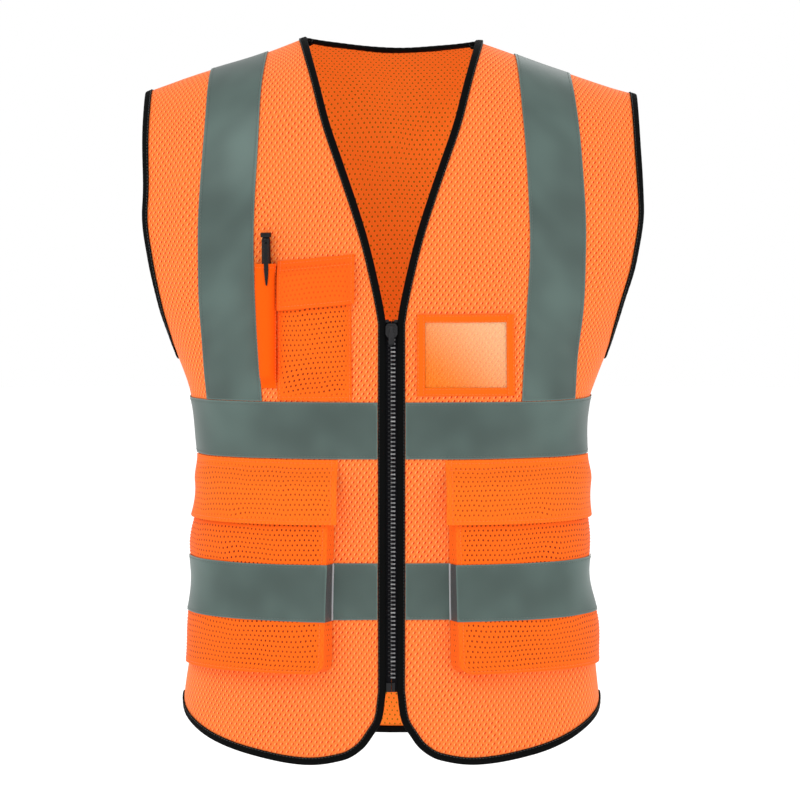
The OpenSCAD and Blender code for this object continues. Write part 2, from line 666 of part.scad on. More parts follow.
function pocket_flap_at(u, v) =
    let(z = -flap_drop - pocket_flap_h*v, v2 = (-z - pocket_mouth_drop)/pocket_h,
        near = q_at(pocket_in - flap_overhang, z), q = mix(near, flap_q, u),
        first = q_at(pocket_near(0), z), u2 = hold((q - first)/(side_q - first), 0, 1),
        stand = pocket_depth(max(v2, 0))*pocket_share(u2) + flap_clear,
        rise = ease((v*pocket_flap_h)/(pocket_mouth_drop - flap_drop - 3)))
    [q, z, mix(seat + 0.1, pocket_seat + 0.1 + stand, rise)];
module pocket_flap() {
    rows = 9;
    cols = 14;
    color(orange)
        sheet([for (r = [0:rows]) [for (c = [0:cols]) pocket_flap_at(c/cols, r/rows)]], flap_t);
}
module pocket_patch(lift) {
    z0 = -pocket_mouth_drop - 5;
    color(black)
        sheet([for (r = [0:2]) [for (c = [0:4])
            let(z = z0 - patch_h*r/2, v = (-z - pocket_mouth_drop)/pocket_h,
                first = q_at(pocket_near(v), z), u = mix(0.36, 0.56, c/4))
            [mix(first, side_q, u), z, pocket_lift_at(u, v) + lift]]], patch_t);
}
loop_lift = pocket_t/2 + 0.35 + patch_t/2;
hook_lift = loop_lift + patch_t + 0.35;

right_side() front_panel();  // right_front_panel
front_panel();  // left_front_panel
right_side() back_panel();  // right_back_panel
back_panel();  // left_back_panel
right_side() front_edge_binding();  // right_front_edge_binding
front_edge_binding();  // left_front_edge_binding
right_side() back_neck_binding();  // right_back_neck_binding
back_neck_binding();  // left_back_neck_binding
right_side() armhole_binding();  // right_armhole_binding
armhole_binding();  // left_armhole_binding
right_side() front_hem_binding();  // right_front_hem_binding
front_hem_binding();  // left_front_hem_binding
right_side() back_hem_binding();  // right_back_hem_binding
back_hem_binding();  // left_back_hem_binding
right_side() brace(false);  // right_front_brace
brace(false);  // left_front_brace
right_side() brace(true);  // right_back_brace
brace(true);  // left_back_brace
right_side() band(chest_band_drop, band_in, 1, false);  // right_front_chest_band
band(chest_band_drop, band_in, 1, false);  // left_front_chest_band
right_side() band(chest_band_drop, seam, 1, true);  // right_back_chest_band
band(chest_band_drop, seam, 1, true);  // left_back_chest_band
right_side() band(waist_band_drop, band_in, 1, false);  // right_front_waist_band
band(waist_band_drop, band_in, 1, false);  // left_front_waist_band
right_side() band(waist_band_drop, seam, 1, true);  // right_back_waist_band
band(waist_band_drop, seam, 1, true);  // left_back_waist_band
right_side() zip_tape();  // right_zip_tape
zip_tape();  // left_zip_tape
right_side() zip_teeth(0);  // right_zip_teeth
zip_teeth(tooth_pitch/2);  // left_zip_teeth
right_side() top_stop();  // right_top_stop
top_stop();  // left_top_stop
right_side() retainer_box();
insertion_pin();
zip_slider();
pull_tab();
chest_pocket();
pen_sleeve();
chest_flap();
pen_barrel();
pen_clip();
card_frame();
card_window();
right_side() pocket_front();  // right_pocket_front
pocket_front();  // left_pocket_front
right_side() pocket_gusset();  // right_pocket_gusset
pocket_gusset();  // left_pocket_gusset
right_side() pocket_tape();  // right_pocket_tape
pocket_tape();  // left_pocket_tape
right_side() pocket_flap();  // right_pocket_flap
pocket_flap();  // left_pocket_flap
chest_patch(hook_lift);  // chest_hook_patch
chest_patch(loop_lift);  // chest_loop_patch
right_side() pocket_patch(hook_lift);  // right_hook_patch
pocket_patch(hook_lift);  // left_hook_patch
right_side() pocket_patch(loop_lift);  // right_loop_patch
pocket_patch(loop_lift);  // left_loop_patch
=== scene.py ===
"""High visibility vest: the looks of the orange mesh vest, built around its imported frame."""

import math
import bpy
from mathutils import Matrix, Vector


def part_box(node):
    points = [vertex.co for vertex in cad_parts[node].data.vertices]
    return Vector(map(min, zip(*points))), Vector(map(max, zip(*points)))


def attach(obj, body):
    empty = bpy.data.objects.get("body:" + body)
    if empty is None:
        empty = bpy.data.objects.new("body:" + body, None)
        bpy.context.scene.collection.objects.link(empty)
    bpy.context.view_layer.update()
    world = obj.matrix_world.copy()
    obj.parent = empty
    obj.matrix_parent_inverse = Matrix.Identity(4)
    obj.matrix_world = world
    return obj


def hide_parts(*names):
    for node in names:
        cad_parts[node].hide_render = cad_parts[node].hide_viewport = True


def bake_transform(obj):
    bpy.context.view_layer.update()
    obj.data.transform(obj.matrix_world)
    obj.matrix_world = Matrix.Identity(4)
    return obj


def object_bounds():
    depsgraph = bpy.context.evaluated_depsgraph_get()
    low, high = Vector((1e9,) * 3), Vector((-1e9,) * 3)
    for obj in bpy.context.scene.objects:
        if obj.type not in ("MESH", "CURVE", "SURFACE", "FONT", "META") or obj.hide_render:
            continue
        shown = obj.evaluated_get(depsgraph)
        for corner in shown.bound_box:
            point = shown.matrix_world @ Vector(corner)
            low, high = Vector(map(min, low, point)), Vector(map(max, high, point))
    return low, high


bl_info = {
    "name": "High Visibility Vest",
    "version": (1, 0, 0),
    "blender": (4, 5, 0),
    "location": "View3D > Sidebar > Vest",
    "description": "Sews the mesh panels, tapes, pockets and zip of a high visibility vest",
    "category": "Mesh",
}

import bpy
import numpy as np
from bpy.props import FloatProperty, FloatVectorProperty, IntProperty, PointerProperty
from bpy.types import Operator, Panel, PropertyGroup
from mathutils import Vector

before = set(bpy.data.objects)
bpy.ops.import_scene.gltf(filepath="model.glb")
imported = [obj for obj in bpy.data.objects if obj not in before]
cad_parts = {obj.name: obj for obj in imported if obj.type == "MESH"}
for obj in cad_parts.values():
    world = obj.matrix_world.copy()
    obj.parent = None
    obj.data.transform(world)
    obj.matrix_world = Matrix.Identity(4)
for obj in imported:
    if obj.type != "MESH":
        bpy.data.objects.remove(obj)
CAD_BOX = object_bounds()

MM = 0.001
LEFT, RIGHT = 1, -1
SIDES = {LEFT: "left", RIGHT: "right"}
HALF_OF = {LEFT: "left_half", RIGHT: "right_half"}


def low(node):
    """Lowest corner of a node's box."""
    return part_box(node)[0]


def high(node):
    """Highest corner of a node's box."""
    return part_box(node)[1]


def length(name, description, metres):
    return FloatProperty(name=name, description=description, default=metres, unit="LENGTH", precision=4)


def share(name, description, value):
    return FloatProperty(name=name, description=description, default=value, min=0.0, max=1.0,
                         subtype="FACTOR")


def amount(name, description, value):
    return FloatProperty(name=name, description=description, default=value)


def colour(name, description, red, green, blue):
    return FloatVectorProperty(name=name, description=description, size=3, min=0.0, max=1.0,
                               subtype="COLOR", default=(red, green, blue))


# ---------------------------------------------------------------- sizes and colours


class VestShape(PropertyGroup):
    """Sizes of the body that the cloth lies on."""

    neck_half: length("Neck half", "Half of the distance between the neck points", 76 * MM)
    shoulder_half: length("Shoulder half", "Half of the width across the shoulder tips", 221 * MM)
    shoulder_fall: length("Shoulder fall", "Fall of the shoulder seam from neck to tip", 50 * MM)
    underarm_drop: length("Underarm drop", "Depth of the underarm below the neck points", 283 * MM)
    underarm_half: length("Underarm half", "Half of the width at the underarm", 195 * MM)
    waist_half: length("Waist half", "Half of the width at the waist", 176 * MM)
    hem_half: length("Hem half", "Half of the width at the side hem", 190 * MM)
    side_hem_drop: length("Side hem drop", "Depth of the side hem below the neck points", 598 * MM)
    front_hem_dip: length("Front hem dip", "How far the front hem dips below the side hem", 44 * MM)
    back_hem_dip: length("Back hem dip", "How far the back hem dips below the side hem", 51 * MM)
    back_neck_drop: length("Back neck drop", "Depth of the back neckline", 6 * MM)
    front_depth: length("Front depth", "Centre front to the shoulder seam plane", 110 * MM)
    back_depth: length("Back depth", "Centre back to the shoulder seam plane", 115 * MM)
    cloth: length("Cloth", "Thickness of the mesh cloth", 0.8 * MM)
    fold: length("Fold height", "Height of the soft folds in the cloth", 2.1 * MM)
    pucker: length("Pucker height", "Height of the gathers beside the sewn tapes", 0.35 * MM)


class VestTrim(PropertyGroup):
    """Sizes of the bindings, tapes and zip."""

    binding_w: length("Binding width", "Width of the folded edge binding", 7 * MM)
    tape_w: length("Tape width", "Width of the reflective tape", 50 * MM)
    tape_t: length("Tape thickness", "Thickness of the reflective tape", 0.5 * MM)
    chest_band_drop: length("Upper band", "Depth of the upper band's top edge",
                            -high("left_front_chest_band").z)
    waist_band_drop: length("Lower band", "Depth of the lower band's top edge",
                            -high("left_front_waist_band").z)
    brace_x: length("Brace", "Distance of the shoulder braces from the centre", 139 * MM)
    zip_top_drop: length("Zip top", "Depth of the top of the zip", 252 * MM)
    zip_bottom_drop: length("Zip bottom", "Depth of the bottom of the zip", 578 * MM)
    zip_gap_half: length("Zip gap half", "Half of the gap between the bound front edges", 4.9 * MM)
    tooth_pitch: length("Tooth pitch", "Distance from tooth to tooth along one row", 3.6 * MM)
    stitch_pitch: length("Stitch pitch", "Distance from stitch to stitch", 2.9 * MM)


class VestPockets(PropertyGroup):
    """Sizes of the pockets, flaps, pen and card holder."""

    chest_in: length("Chest pocket inner edge", "Its distance from the centre", 35 * MM)
    chest_out: length("Chest pocket outer edge", "Its distance from the centre", 100 * MM)
    chest_flap_drop: length("Chest flap drop", "Depth of the flap's inner top corner", 191.5 * MM)
    chest_flap_h: length("Chest flap height", "Height of the chest flap", 43 * MM)
    chest_lift: length("Chest pocket lift", "How far the pocket stands off the cloth", 8 * MM)
    sleeve_w: length("Sleeve width", "Width of the pen sleeve", 19.4 * MM)
    sleeve_h: length("Sleeve height", "Height of the pen sleeve", 110 * MM)
    pen_r: length("Pen radius", "Radius of the pen barrel", 4 * MM)
    pen_len: length("Pen length", "Length of the pen", 119 * MM)
    clip_len: length("Clip length", "Length of the pen's clip", 37 * MM)
    card_in: length("Card holder inner edge", "Its distance from the centre", low("card_frame").x)
    card_w: length("Card holder width", "Width of the card holder",
                   high("card_frame").x - low("card_frame").x)
    card_h: length("Card holder height", "Height of the card holder",
                   high("card_frame").z - low("card_frame").z)
    card_drop: length("Card holder drop", "Depth of the card holder's top", -high("card_frame").z)
    ribbon_w: length("Ribbon width", "Width of the ribbon round the window", 6.8 * MM)
    pocket_in: length("Pocket inner seam", "Its distance from the centre", 50 * MM)
    mouth_drop: length("Pocket mouth", "Depth of the pocket mouth", -high("left_pocket_front").z)
    bottom_drop: length("Pocket bottom", "Depth of the pocket bottom", -low("left_pocket_front").z)
    pocket_lift: length("Pocket lift", "How far the pocket stands off at its bottom", 16 * MM)
    mouth_lift: length("Mouth lift", "How far the pocket stands off at its mouth", 9 * MM)
    flap_drop: length("Flap drop", "Depth of the lower flaps' top edge", -high("left_pocket_flap").z)
    flap_h: length("Flap height", "Height of the lower flaps", 56 * MM)
    flap_overhang: length("Flap overhang", "How far a flap overhangs the pocket's seam", 3 * MM)
    corner_r: length("Pocket corner", "Radius of the pocket's lower inner corner", 11 * MM)


class KnitLook(PropertyGroup):
    """Colours and sizes of one knitted mesh."""

    ground: colour("Ground", "Colour of the knitted ground", 1.0, 0.165, 0.016)
    # Painted shade: the holes are not cut, and this colour paints the shaded view through them.
    hole: colour("Hole", "Colour seen in the holes", 0.68, 0.01, 0.0)
    # Pale colour of the yarn's flecks, and the painted highlight on the raised loop beside each hole.
    light: colour("Light", "Colour of the raised loops beside the holes", 1.0, 0.5, 0.2)
    across: length("Pitch across", "Distance from hole to hole across", 4.95 * MM)
    down: length("Pitch down", "Distance from row to row", 3.65 * MM)
    hole_w: length("Hole width", "Half width of a hole", 0.74 * MM)
    hole_h: length("Hole height", "Half height of a hole", 1.4 * MM)
    slant: amount("Slant", "How far the holes lean", -0.3)
    strength: share("Hole strength", "How clearly the holes show", 1.0)
    # How strongly the painted highlight on the loops shows.
    raised: share("Loop strength", "How clearly the loops beside the holes show", 0.85)
    # Painted light: an even glow in the ground colour that brightens the cloth, used on the shaded inside.
    glow: share("Glow", "How strongly the dye fluoresces", 0.0)


class VestLooks(PropertyGroup):
    """Colours of everything that isn't knitted mesh."""

    tape: colour("Reflective tape", "Colour of the reflective tape", 0.068, 0.104, 0.093)
    binding: colour("Binding", "Colour of the edge binding", 0.0015, 0.0017, 0.0017)
    ribbon: colour("Ribbon", "Colour of the card holder's ribbon", 1.0, 0.125, 0.004)
    thread: colour("Orange thread", "Colour of the thread in the orange cloth", 1.0, 0.14, 0.01)
    tape_thread: colour("Grey thread", "Colour of the thread in the tape", 0.085, 0.12, 0.108)
    zip_black: colour("Zip", "Colour of the zip's teeth and tapes", 0.004, 0.004, 0.005)
    # The pale end of the window's painted reflection.
    film: colour("Window", "Tint of the clear window", 1.0, 0.82, 0.46)
    stage: colour("Stage", "Colour of the floor", 0.93, 0.93, 0.93)


class VestSettings(PropertyGroup):
    """All settings of the vest."""

    shape: PointerProperty(type=VestShape)
    trim: PointerProperty(type=VestTrim)
    pockets: PointerProperty(type=VestPockets)
    panel_knit: PointerProperty(type=KnitLook)
    inside_knit: PointerProperty(type=KnitLook)
    pocket_knit: PointerProperty(type=KnitLook)
    flap_knit: PointerProperty(type=KnitLook)
    chest_flap_knit: PointerProperty(type=KnitLook)
    looks: PointerProperty(type=VestLooks)
    rows: IntProperty(name="Panel rows", description="Rows of faces down a panel", default=168)
    columns: IntProperty(name="Panel columns", description="Columns of faces across a panel", default=100)


def settings():
    return bpy.context.scene.vest


# ---------------------------------------------------------------- the body the cloth lies on

SEAM = 0.5 * MM
EDGE_OUT = 1.2 * MM
ROUNDNESS = 2.6
FRONT_ROUND, BACK_ROUND = 150 * MM, 100 * MM
CHEST_WRAP = 29 * MM
AIR = 0.7 * MM
V_NECK = ((0, 1), (0.16, 0.835), (0.3, 0.7), (0.44, 0.53), (0.56, 0.385), (0.69, 0.24),
          (0.8, 0.14), (0.93, 0.04), (1, 0))
FRONT_HEM_Q = ((0, 0), (0.09, 0.006), (0.137, 0.018), (0.2, 0.043), (0.268, 0.086), (0.385, 0.191),
               (0.56, 0.385), (0.72, 0.587), (0.86, 0.79), (1, 1))
FRONT_HEM_Z = ((0.09, 0.1), (0.137, 0.36), (0.2, 0.69), (0.268, 0.9), (0.385, 1), (0.56, 0.84),
               (0.72, 0.6), (0.86, 0.31), (1, 0))
BACK_HEM_Z = ((0, 1), (0.25, 0.96), (0.45, 0.8), (0.7, 0.4), (1, 0))
BRACE_BOW = ((0, -3), (0.3, 4), (0.52, 7), (0.76, 5), (1, 0))


def mix(a, b, t):
    return a * (1 - t) + b * t


def ease(t):
    h = np.clip(t, 0, 1)
    return h * h * (3 - 2 * h)


def unit(v):
    return v / np.linalg.norm(v, axis=-1, keepdims=True)


def curve(knots, p):
    """A smooth curve through knots (position, value)."""
    x, y = np.array(knots, float).T
    count = len(x)
    before, after = np.maximum(np.arange(count) - 1, 0), np.minimum(np.arange(count) + 1, count - 1)
    slope = (y[after] - y[before]) / (x[after] - x[before])
    at = np.clip(p, x[0], x[-1])
    i = np.clip(np.searchsorted(x, at, side="left") - 1, 0, count - 2)
    h = x[i + 1] - x[i]
    t = (at - x[i]) / h
    return (y[i] * (1 + 2 * t) * (1 - t) ** 2 + slope[i] * h * t * (1 - t) ** 2
            + y[i + 1] * t * t * (3 - 2 * t) + slope[i + 1] * h * t * t * (t - 1))


class Torso:
    """The filled body. q is 0 at the centre front, 1 at the side seam and 2 at the centre back."""

    def __init__(self, vest):
        s, t = vest.shape, vest.trim
        self.s, self.t, self.p = s, t, vest.pockets
        reach, under = s.shoulder_half + CHEST_WRAP, s.underarm_drop
        lower = s.side_hem_drop - under
        self.chest_half = reach
        self.side_knots = (
            (0, reach), (0.53 * under, reach), (0.69 * under, mix(s.underarm_half, reach, 0.78)),
            (0.845 * under, mix(s.underarm_half, reach, 0.42)),
            (0.965 * under, mix(s.underarm_half, reach, 0.09)), (under, s.underarm_half),
            (under + 0.12 * lower, mix(s.waist_half, s.underarm_half, 0.36)),
            (under + 0.28 * lower, s.waist_half),
            (under + 0.6 * lower, mix(s.waist_half, s.hem_half, 0.15)),
            (under + 0.78 * lower, mix(s.waist_half, s.hem_half, 0.55)),
            (s.side_hem_drop, s.hem_half), (s.side_hem_drop + 100 * MM, s.hem_half + 3 * MM))
        self.edge_x = t.zip_gap_half + EDGE_OUT
        self.neck_x = s.neck_half + EDGE_OUT
        self.neck_z = float(self.seam_z(self.neck_x))
        self.tip_x = s.shoulder_half - EDGE_OUT
        self.tip_z = float(self.seam_z(self.tip_x))
        self.tip_share = (1 - (self.tip_x / reach) ** ROUNDNESS) ** (1 / ROUNDNESS)
        self.arm_part = (under + self.tip_z) / (s.side_hem_drop + self.tip_z)
        rng = np.random.default_rng(7)
        self.waves, self.table = [], None
        for size in np.geomspace(0.07, 0.24, 12):
            tilt, phase = rng.uniform(0, math.pi), rng.uniform(0, 2 * math.pi)
            way = np.array([math.cos(tilt), 0.5 * math.sin(2 * tilt), math.sin(tilt)])
            self.waves.append((2 * math.pi / size * way, phase, (size / 0.24) ** 0.7))

    def half_width(self, z):
        return curve(self.side_knots, -z)

    def seam_z(self, x):
        s = self.s
        return -s.shoulder_fall * np.maximum(np.abs(x) - s.neck_half, 0) / (s.shoulder_half - s.neck_half)

    def skin(self, q, z):
        """Points on the smooth body, on the wearer's left."""
        q, z = np.broadcast_arrays(np.asarray(q, float), np.asarray(z, float))
        a = math.pi / 2 * np.clip(q, 0, 2)
        x = self.half_width(z) * np.maximum(np.sin(a), 0) ** (2 / ROUNDNESS)
        c = np.cos(a)
        front = c >= 0
        r = np.where(front, FRONT_ROUND, BACK_ROUND)
        d = np.clip(self.seam_z(x) - z, 0, r)
        rounding = np.sqrt(np.maximum(0, 1 - (1 - d / r) ** 2))
        deep = np.where(front, self.s.front_depth, self.s.back_depth)
        y = np.where(front, -1, 1) * (SEAM + deep * rounding * np.abs(c) ** (2 / ROUNDNESS))
        return np.stack([x, y, z], -1)

    def q_at(self, x, z):
        return np.arcsin(np.clip(x / self.half_width(z), 0, 1) ** (ROUNDNESS / 2)) / (math.pi / 2)

    def slopes(self, q, z):
        dq, dz = 0.004, 0.4 * MM
        along_q = self.skin(np.minimum(q + dq, 2), z) - self.skin(np.maximum(q - dq, 0), z)
        along_z = self.skin(q, z + dz) - self.skin(q, z - dz)
        return along_q / (2 * dq), along_z / (2 * dz)

    def outward(self, q, z):
        along_q, along_z = self.slopes(q, z)
        return unit(np.cross(along_q, along_z))

    def relief(self, p):
        """Height of the cloth's soft folds at points of the body. Flat at the zip and under the pen."""
        s, t = self.s, self.t
        x, y, z = p[..., 0], p[..., 1], p[..., 2]
        front = ease(-y / (60 * MM) + 0.3)
        swell = sum(part * np.sin(p @ way + phase) for way, phase, part in self.waves)
        height = 0.42 * s.fold * swell
        # drag lines from the armholes down to the bust, and a soft break at the waist's sides
        wide = np.abs(x)
        arm = np.exp(-((wide - 186 * MM) / (9 * MM)) ** 2) * np.exp(-((z + 150 * MM) / (70 * MM)) ** 2)
        height = height + 1.3 * s.fold * front * arm
        flank = ease((wide - 110 * MM) / (50 * MM)) * np.exp(-((z + 455 * MM) / (95 * MM)) ** 2)
        height = height + 0.9 * s.fold * flank * np.sin((z + 0.35 * wide) / (13 * MM))
        # gathers beside the level bands
        for drop in (t.chest_band_drop, t.waist_band_drop):
            for edge in (-drop, -drop - t.tape_w):
                near = np.exp(-((z - edge) / (8 * MM)) ** 2)
                height = height + s.pucker * near * np.sin(x / (2.6 * MM) + 9 * np.sin(x / (41 * MM)))
        still = 1 - front * np.exp(-((x / (34 * MM)) ** 4))
        pen = np.exp(-(((x + 106 * MM) / (26 * MM)) ** 4 + ((z + 245 * MM) / (85 * MM)) ** 4))
        return height * still * (1 - front * pen)

    def place(self, q, z, lift, side):
        """Points at a lift from the cloth's middle, with its folds, on one side."""
        base = self.skin(q, z)
        flip = np.array([side, 1, 1])
        height = lift + self.relief(base * flip)
        return (base + self.outward(q, z) * np.asarray(height)[..., None]) * flip

    def flat(self, q, z):
        """Flat coordinates: arc round from the centre front, and arc up from far below the hem."""
        if self.table is None:
            grid_q, grid_z = np.linspace(0, 2, 401), np.linspace(-0.67, 0.0, 336)
            points = self.skin(*np.meshgrid(grid_q, grid_z))
            self.table = np.stack([arc(points, 1), arc(points, 0)], -1)
        tall, wide = self.table.shape[:2]
        i = np.clip(q / 2, 0, 1) * (wide - 1)
        j = np.clip(z / 0.67 + 1, 0, 1) * (tall - 1)
        i0, j0 = np.minimum(i.astype(int), wide - 2), np.minimum(j.astype(int), tall - 2)
        fi, fj = (i - i0)[..., None], (j - j0)[..., None]
        lower = mix(self.table[j0, i0], self.table[j0, i0 + 1], fi)
        return mix(lower, mix(self.table[j0 + 1, i0], self.table[j0 + 1, i0 + 1], fi), fj)

    def inward(self, q, z, dq_path, dz_path, turn):
        """The step in q and z that goes one metre over the surface, square to a path."""
        along_q, along_z = self.slopes(q, z)
        path = unit(along_q * dq_path[..., None] + along_z * dz_path[..., None])
        b = unit(np.cross(self.outward(q, z), path)) * turn
        a, c = (along_q ** 2).sum(-1), (along_z ** 2).sum(-1)
        m, f, g = (along_q * along_z).sum(-1), (along_q * b).sum(-1), (along_z * b).sum(-1)
        det = a * c - m * m
        return (f * c - g * m) / det, (g * a - f * m) / det

    # Edges of the cut cloth
    def front_edge_x(self, z):
        drop = self.t.zip_top_drop
        v = mix(self.edge_x, self.neck_x, curve(V_NECK, -z / drop))
        return np.where(-z >= drop, self.edge_x, v)

    def outer_q(self, z):
        t = np.clip((self.tip_z - z) / (self.s.underarm_drop + self.tip_z), 0, 1)
        share_left = self.tip_share * np.sqrt(np.maximum(0, 1 - t ** 3.5))
        rising = np.arccos(share_left ** (ROUNDNESS / 2)) / (math.pi / 2)
        return np.where(-z >= self.s.underarm_drop, 1.0, rising)

    def front_inner(self, v):
        z = mix(self.neck_z, -self.t.zip_bottom_drop, v)
        return self.q_at(self.front_edge_x(z), z), z

    def front_outer(self, v):
        z = mix(self.tip_z, -self.s.side_hem_drop, v)
        return self.outer_q(z), z

    def front_hem(self, u):
        s = self.s
        corner = (s.side_hem_drop - self.t.zip_bottom_drop) / s.front_hem_dip
        start = self.q_at(self.edge_x, -self.t.zip_bottom_drop)
        dip = curve(((0, -corner),) + FRONT_HEM_Z, u)
        return mix(start, 1, curve(FRONT_HEM_Q, u)), -s.side_hem_drop - s.front_hem_dip * dip

    def back_hem(self, u):
        s = self.s
        return mix(2.0, 1.0, u), -s.side_hem_drop - s.back_hem_dip * curve(BACK_HEM_Z, u)

    def back_neck(self, u):
        x = mix(0.0, self.neck_x, u)
        return 2 - self.q_at(x, 0.0), mix(-self.s.back_neck_drop, self.neck_z, u * u)

    def seam_line(self, u):
        x = mix(self.neck_x, self.tip_x, u)
        z = self.seam_z(x)
        return self.q_at(x, z), z

    def down(self, v):
        """Rows close where the shoulder rounds over and at the underarm, then even."""
        bend = 0.26
        top = bend * (1 - np.cos(math.pi / 2 * np.minimum(v / 0.35, 1)))
        middle = mix(self.arm_part, bend, (1 - (np.clip(v, 0.35, 0.6) - 0.35) / 0.25) ** 2)
        low_part = mix(self.arm_part, 1, (v - 0.6) / 0.4)
        return np.where(v < 0.35, top, np.where(v < 0.6, middle, low_part))

    def front_cut(self, u, v):
        return stretched(u, v, self.seam_line, self.front_hem, self.front_inner, self.front_outer)

    def back_cut(self, u, v):
        part = 0.36

        def top(u):
            neck_q, neck_z = self.back_neck(np.minimum(u / part, 1))
            seam_q, seam_z = self.seam_line(np.clip((u - part) / (1 - part), 0, 1))
            return np.where(u < part, neck_q, 2 - seam_q), np.where(u < part, neck_z, seam_z)

        def inner(v):
            s = self.s
            return 2.0 + 0 * v, mix(-s.back_neck_drop, -s.side_hem_drop - s.back_hem_dip, v)

        def outer(v):
            q, z = self.front_outer(v)
            return 2 - q, z

        return stretched(u, v, top, self.back_hem, inner, outer)


def stretched(u, v, top, bottom, inner, outer):
    """A patch (q, z) stretched between four edges."""
    found = []
    one, none = np.ones(1), np.zeros(1)
    for k in (0, 1):
        t, b, i, o = top(u)[k], bottom(u)[k], inner(v)[k], outer(v)[k]
        corners = mix(mix(top(none)[k][0], top(one)[k][0], u),
                      mix(bottom(none)[k][0], bottom(one)[k][0], u), v)
        found.append(mix(i, o, u) + mix(t, b, v) - corners)
    return found


def net(rows, columns):
    """Two arrays of shares: across and down."""
    return np.meshgrid(np.linspace(0, 1, columns + 1), np.linspace(0, 1, rows + 1))


# ---------------------------------------------------------------- meshes


def signed_volume(points, faces):
    total = 0.0
    for face in faces:
        corners = points[face]
        for k in range(1, face.shape[1] - 1):
            total += np.einsum("ij,ij->i", corners[:, 0], np.cross(corners[:, k], corners[:, k + 1])).sum()
    return total / 6


def make_mesh(name, points, faces, materials, uv=None, edge=None, parts=None, smooth=True):
    """An object from points and one or more arrays of faces. parts gives each array's material."""
    if signed_volume(points, faces) < 0:
        faces = [f[:, ::-1] for f in faces]
    mesh = bpy.data.meshes.new(name)
    mesh.from_pydata(points.tolist(), [], [f for group in faces for f in group.tolist()])
    for material in materials:
        mesh.materials.append(material)
    if parts is not None:
        slots = np.concatenate([np.full(len(f), part) for f, part in zip(faces, parts)])
        mesh.polygons.foreach_set("material_index", slots.astype(np.int32))
    if uv is not None:
        corner = np.empty(len(mesh.loops), np.int32)
        mesh.loops.foreach_get("vertex_index", corner)
        mesh.uv_layers.new(name="cloth").uv.foreach_set("vector", uv[corner].astype(np.float32).ravel())
    if edge is not None:
        mesh.attributes.new("edge", "FLOAT", "POINT").data.foreach_set("value", edge.astype(np.float32))
    if smooth:
        mesh.shade_smooth()
        mesh.set_sharp_from_angle(angle=math.radians(50))
    mesh.update()
    made = bpy.data.objects.new(name, mesh)
    bpy.context.scene.collection.objects.link(made)
    return made


def grid_faces(rows, columns, start=0):
    r, c = np.mgrid[0:rows, 0:columns]
    i = start + r * (columns + 1) + c
    return np.stack([i, i + columns + 1, i + columns + 2, i + 1], -1).reshape(-1, 4)


def tube_faces(count, around, closed=False):
    """Faces between rings of points, each ring with the same number around."""
    i, j = np.mgrid[0:count if closed else count - 1, 0:around]
    k, m = (j + 1) % around, (i + 1) % count
    return np.stack([i * around + j, i * around + k, m * around + k, m * around + j], -1).reshape(-1, 4)


def many_tubes(copies, rings, around):
    """Faces of copies of one short tube, with their end caps."""
    caps = np.stack([np.arange(around)[::-1], np.arange(around) + (rings - 1) * around])
    starts = np.arange(copies)[:, None, None] * rings * around
    return [(tube_faces(rings, around) + starts).reshape(-1, 4), (caps + starts).reshape(-1, around)]


def circle(count):
    """Cosines and sines evenly round a circle."""
    turn = 2 * math.pi * np.arange(count) / count
    return np.cos(turn), np.sin(turn)


def rim_faces(rows, columns):
    """Faces that join the edges of two grids of the same size."""
    wide, count = columns + 1, (rows + 1) * (columns + 1)
    top = np.arange(columns)
    right = np.arange(rows) * wide + columns
    bottom = rows * wide + columns - top
    left = (rows - np.arange(rows)) * wide
    ring = np.concatenate([top, right, bottom, left])
    after = np.roll(ring, -1)
    return np.stack([ring, after, after + count, ring + count], -1)


def arc(points, axis):
    """Distance run along one axis of a grid of points, from its start."""
    step = np.linalg.norm(np.diff(points, axis=axis), axis=-1)
    start = np.zeros_like(np.take(step, [0], axis=axis))
    return np.cumsum(np.concatenate([start, step], axis=axis), axis=axis)


def cloth_lines(outer):
    """Flat coordinates of a grid of points, in metres, and the distance to its nearest edge."""
    across, down = arc(outer, 1), arc(outer, 0)
    edge = np.minimum(np.minimum(across, across[:, -1:] - across), np.minimum(down, down[-1:] - down))
    return np.stack([across, down], -1), edge


def shell(name, outer, inner, materials, uv=None, parts=(0, 0, 0)):
    """A closed skin between two grids of points."""
    rows, columns = outer.shape[0] - 1, outer.shape[1] - 1
    lines, edge = cloth_lines(outer)
    uv = lines if uv is None else uv
    points = np.concatenate([outer.reshape(-1, 3), inner.reshape(-1, 3)])
    count = len(points) // 2
    faces = [grid_faces(rows, columns), grid_faces(rows, columns, count)[:, ::-1], rim_faces(rows, columns)]
    return make_mesh(name, points, faces, materials, np.tile(uv.reshape(-1, 2), (2, 1)),
                     np.tile(edge.ravel(), 2), parts)


def lay(torso, name, q, z, lift, thick, side, materials, uv=None, parts=(0, 0, 0)):
    """A sheet of cloth laid on the body at a lift."""
    outer = torso.place(q, z, lift + thick / 2, side)
    inner = torso.place(q, z, lift - thick / 2, side)
    return shell(name, outer, inner, materials, uv, parts)


def sweep(name, rings, materials, closed=False):
    """A tube through rings of points, with its length and girth as flat coordinates."""
    count, around = rings.shape[:2]
    faces = [tube_faces(count, around, closed)]
    if not closed:
        first = np.arange(around)
        faces += [first[None, ::-1], first[None] + (count - 1) * around]
    run = arc(rings, 0)
    girth = arc(np.concatenate([rings, rings[:, :1]], 1), 1)[:, :-1]
    uv = np.stack([girth, run], -1).reshape(-1, 2)
    edge = np.zeros(count * around)
    return make_mesh(name, rings.reshape(-1, 3), faces, materials, uv, edge)


def joined(name, objects):
    """One object from several, with the first one's name changed to name."""
    bpy.ops.object.select_all(action="DESELECT")
    for o in objects:
        o.select_set(True)
    bpy.context.view_layer.objects.active = objects[0]
    if len(objects) > 1:
        bpy.ops.object.join()
    whole = bpy.context.view_layer.objects.active
    whole.name = name
    whole.data.name = name
    return whole


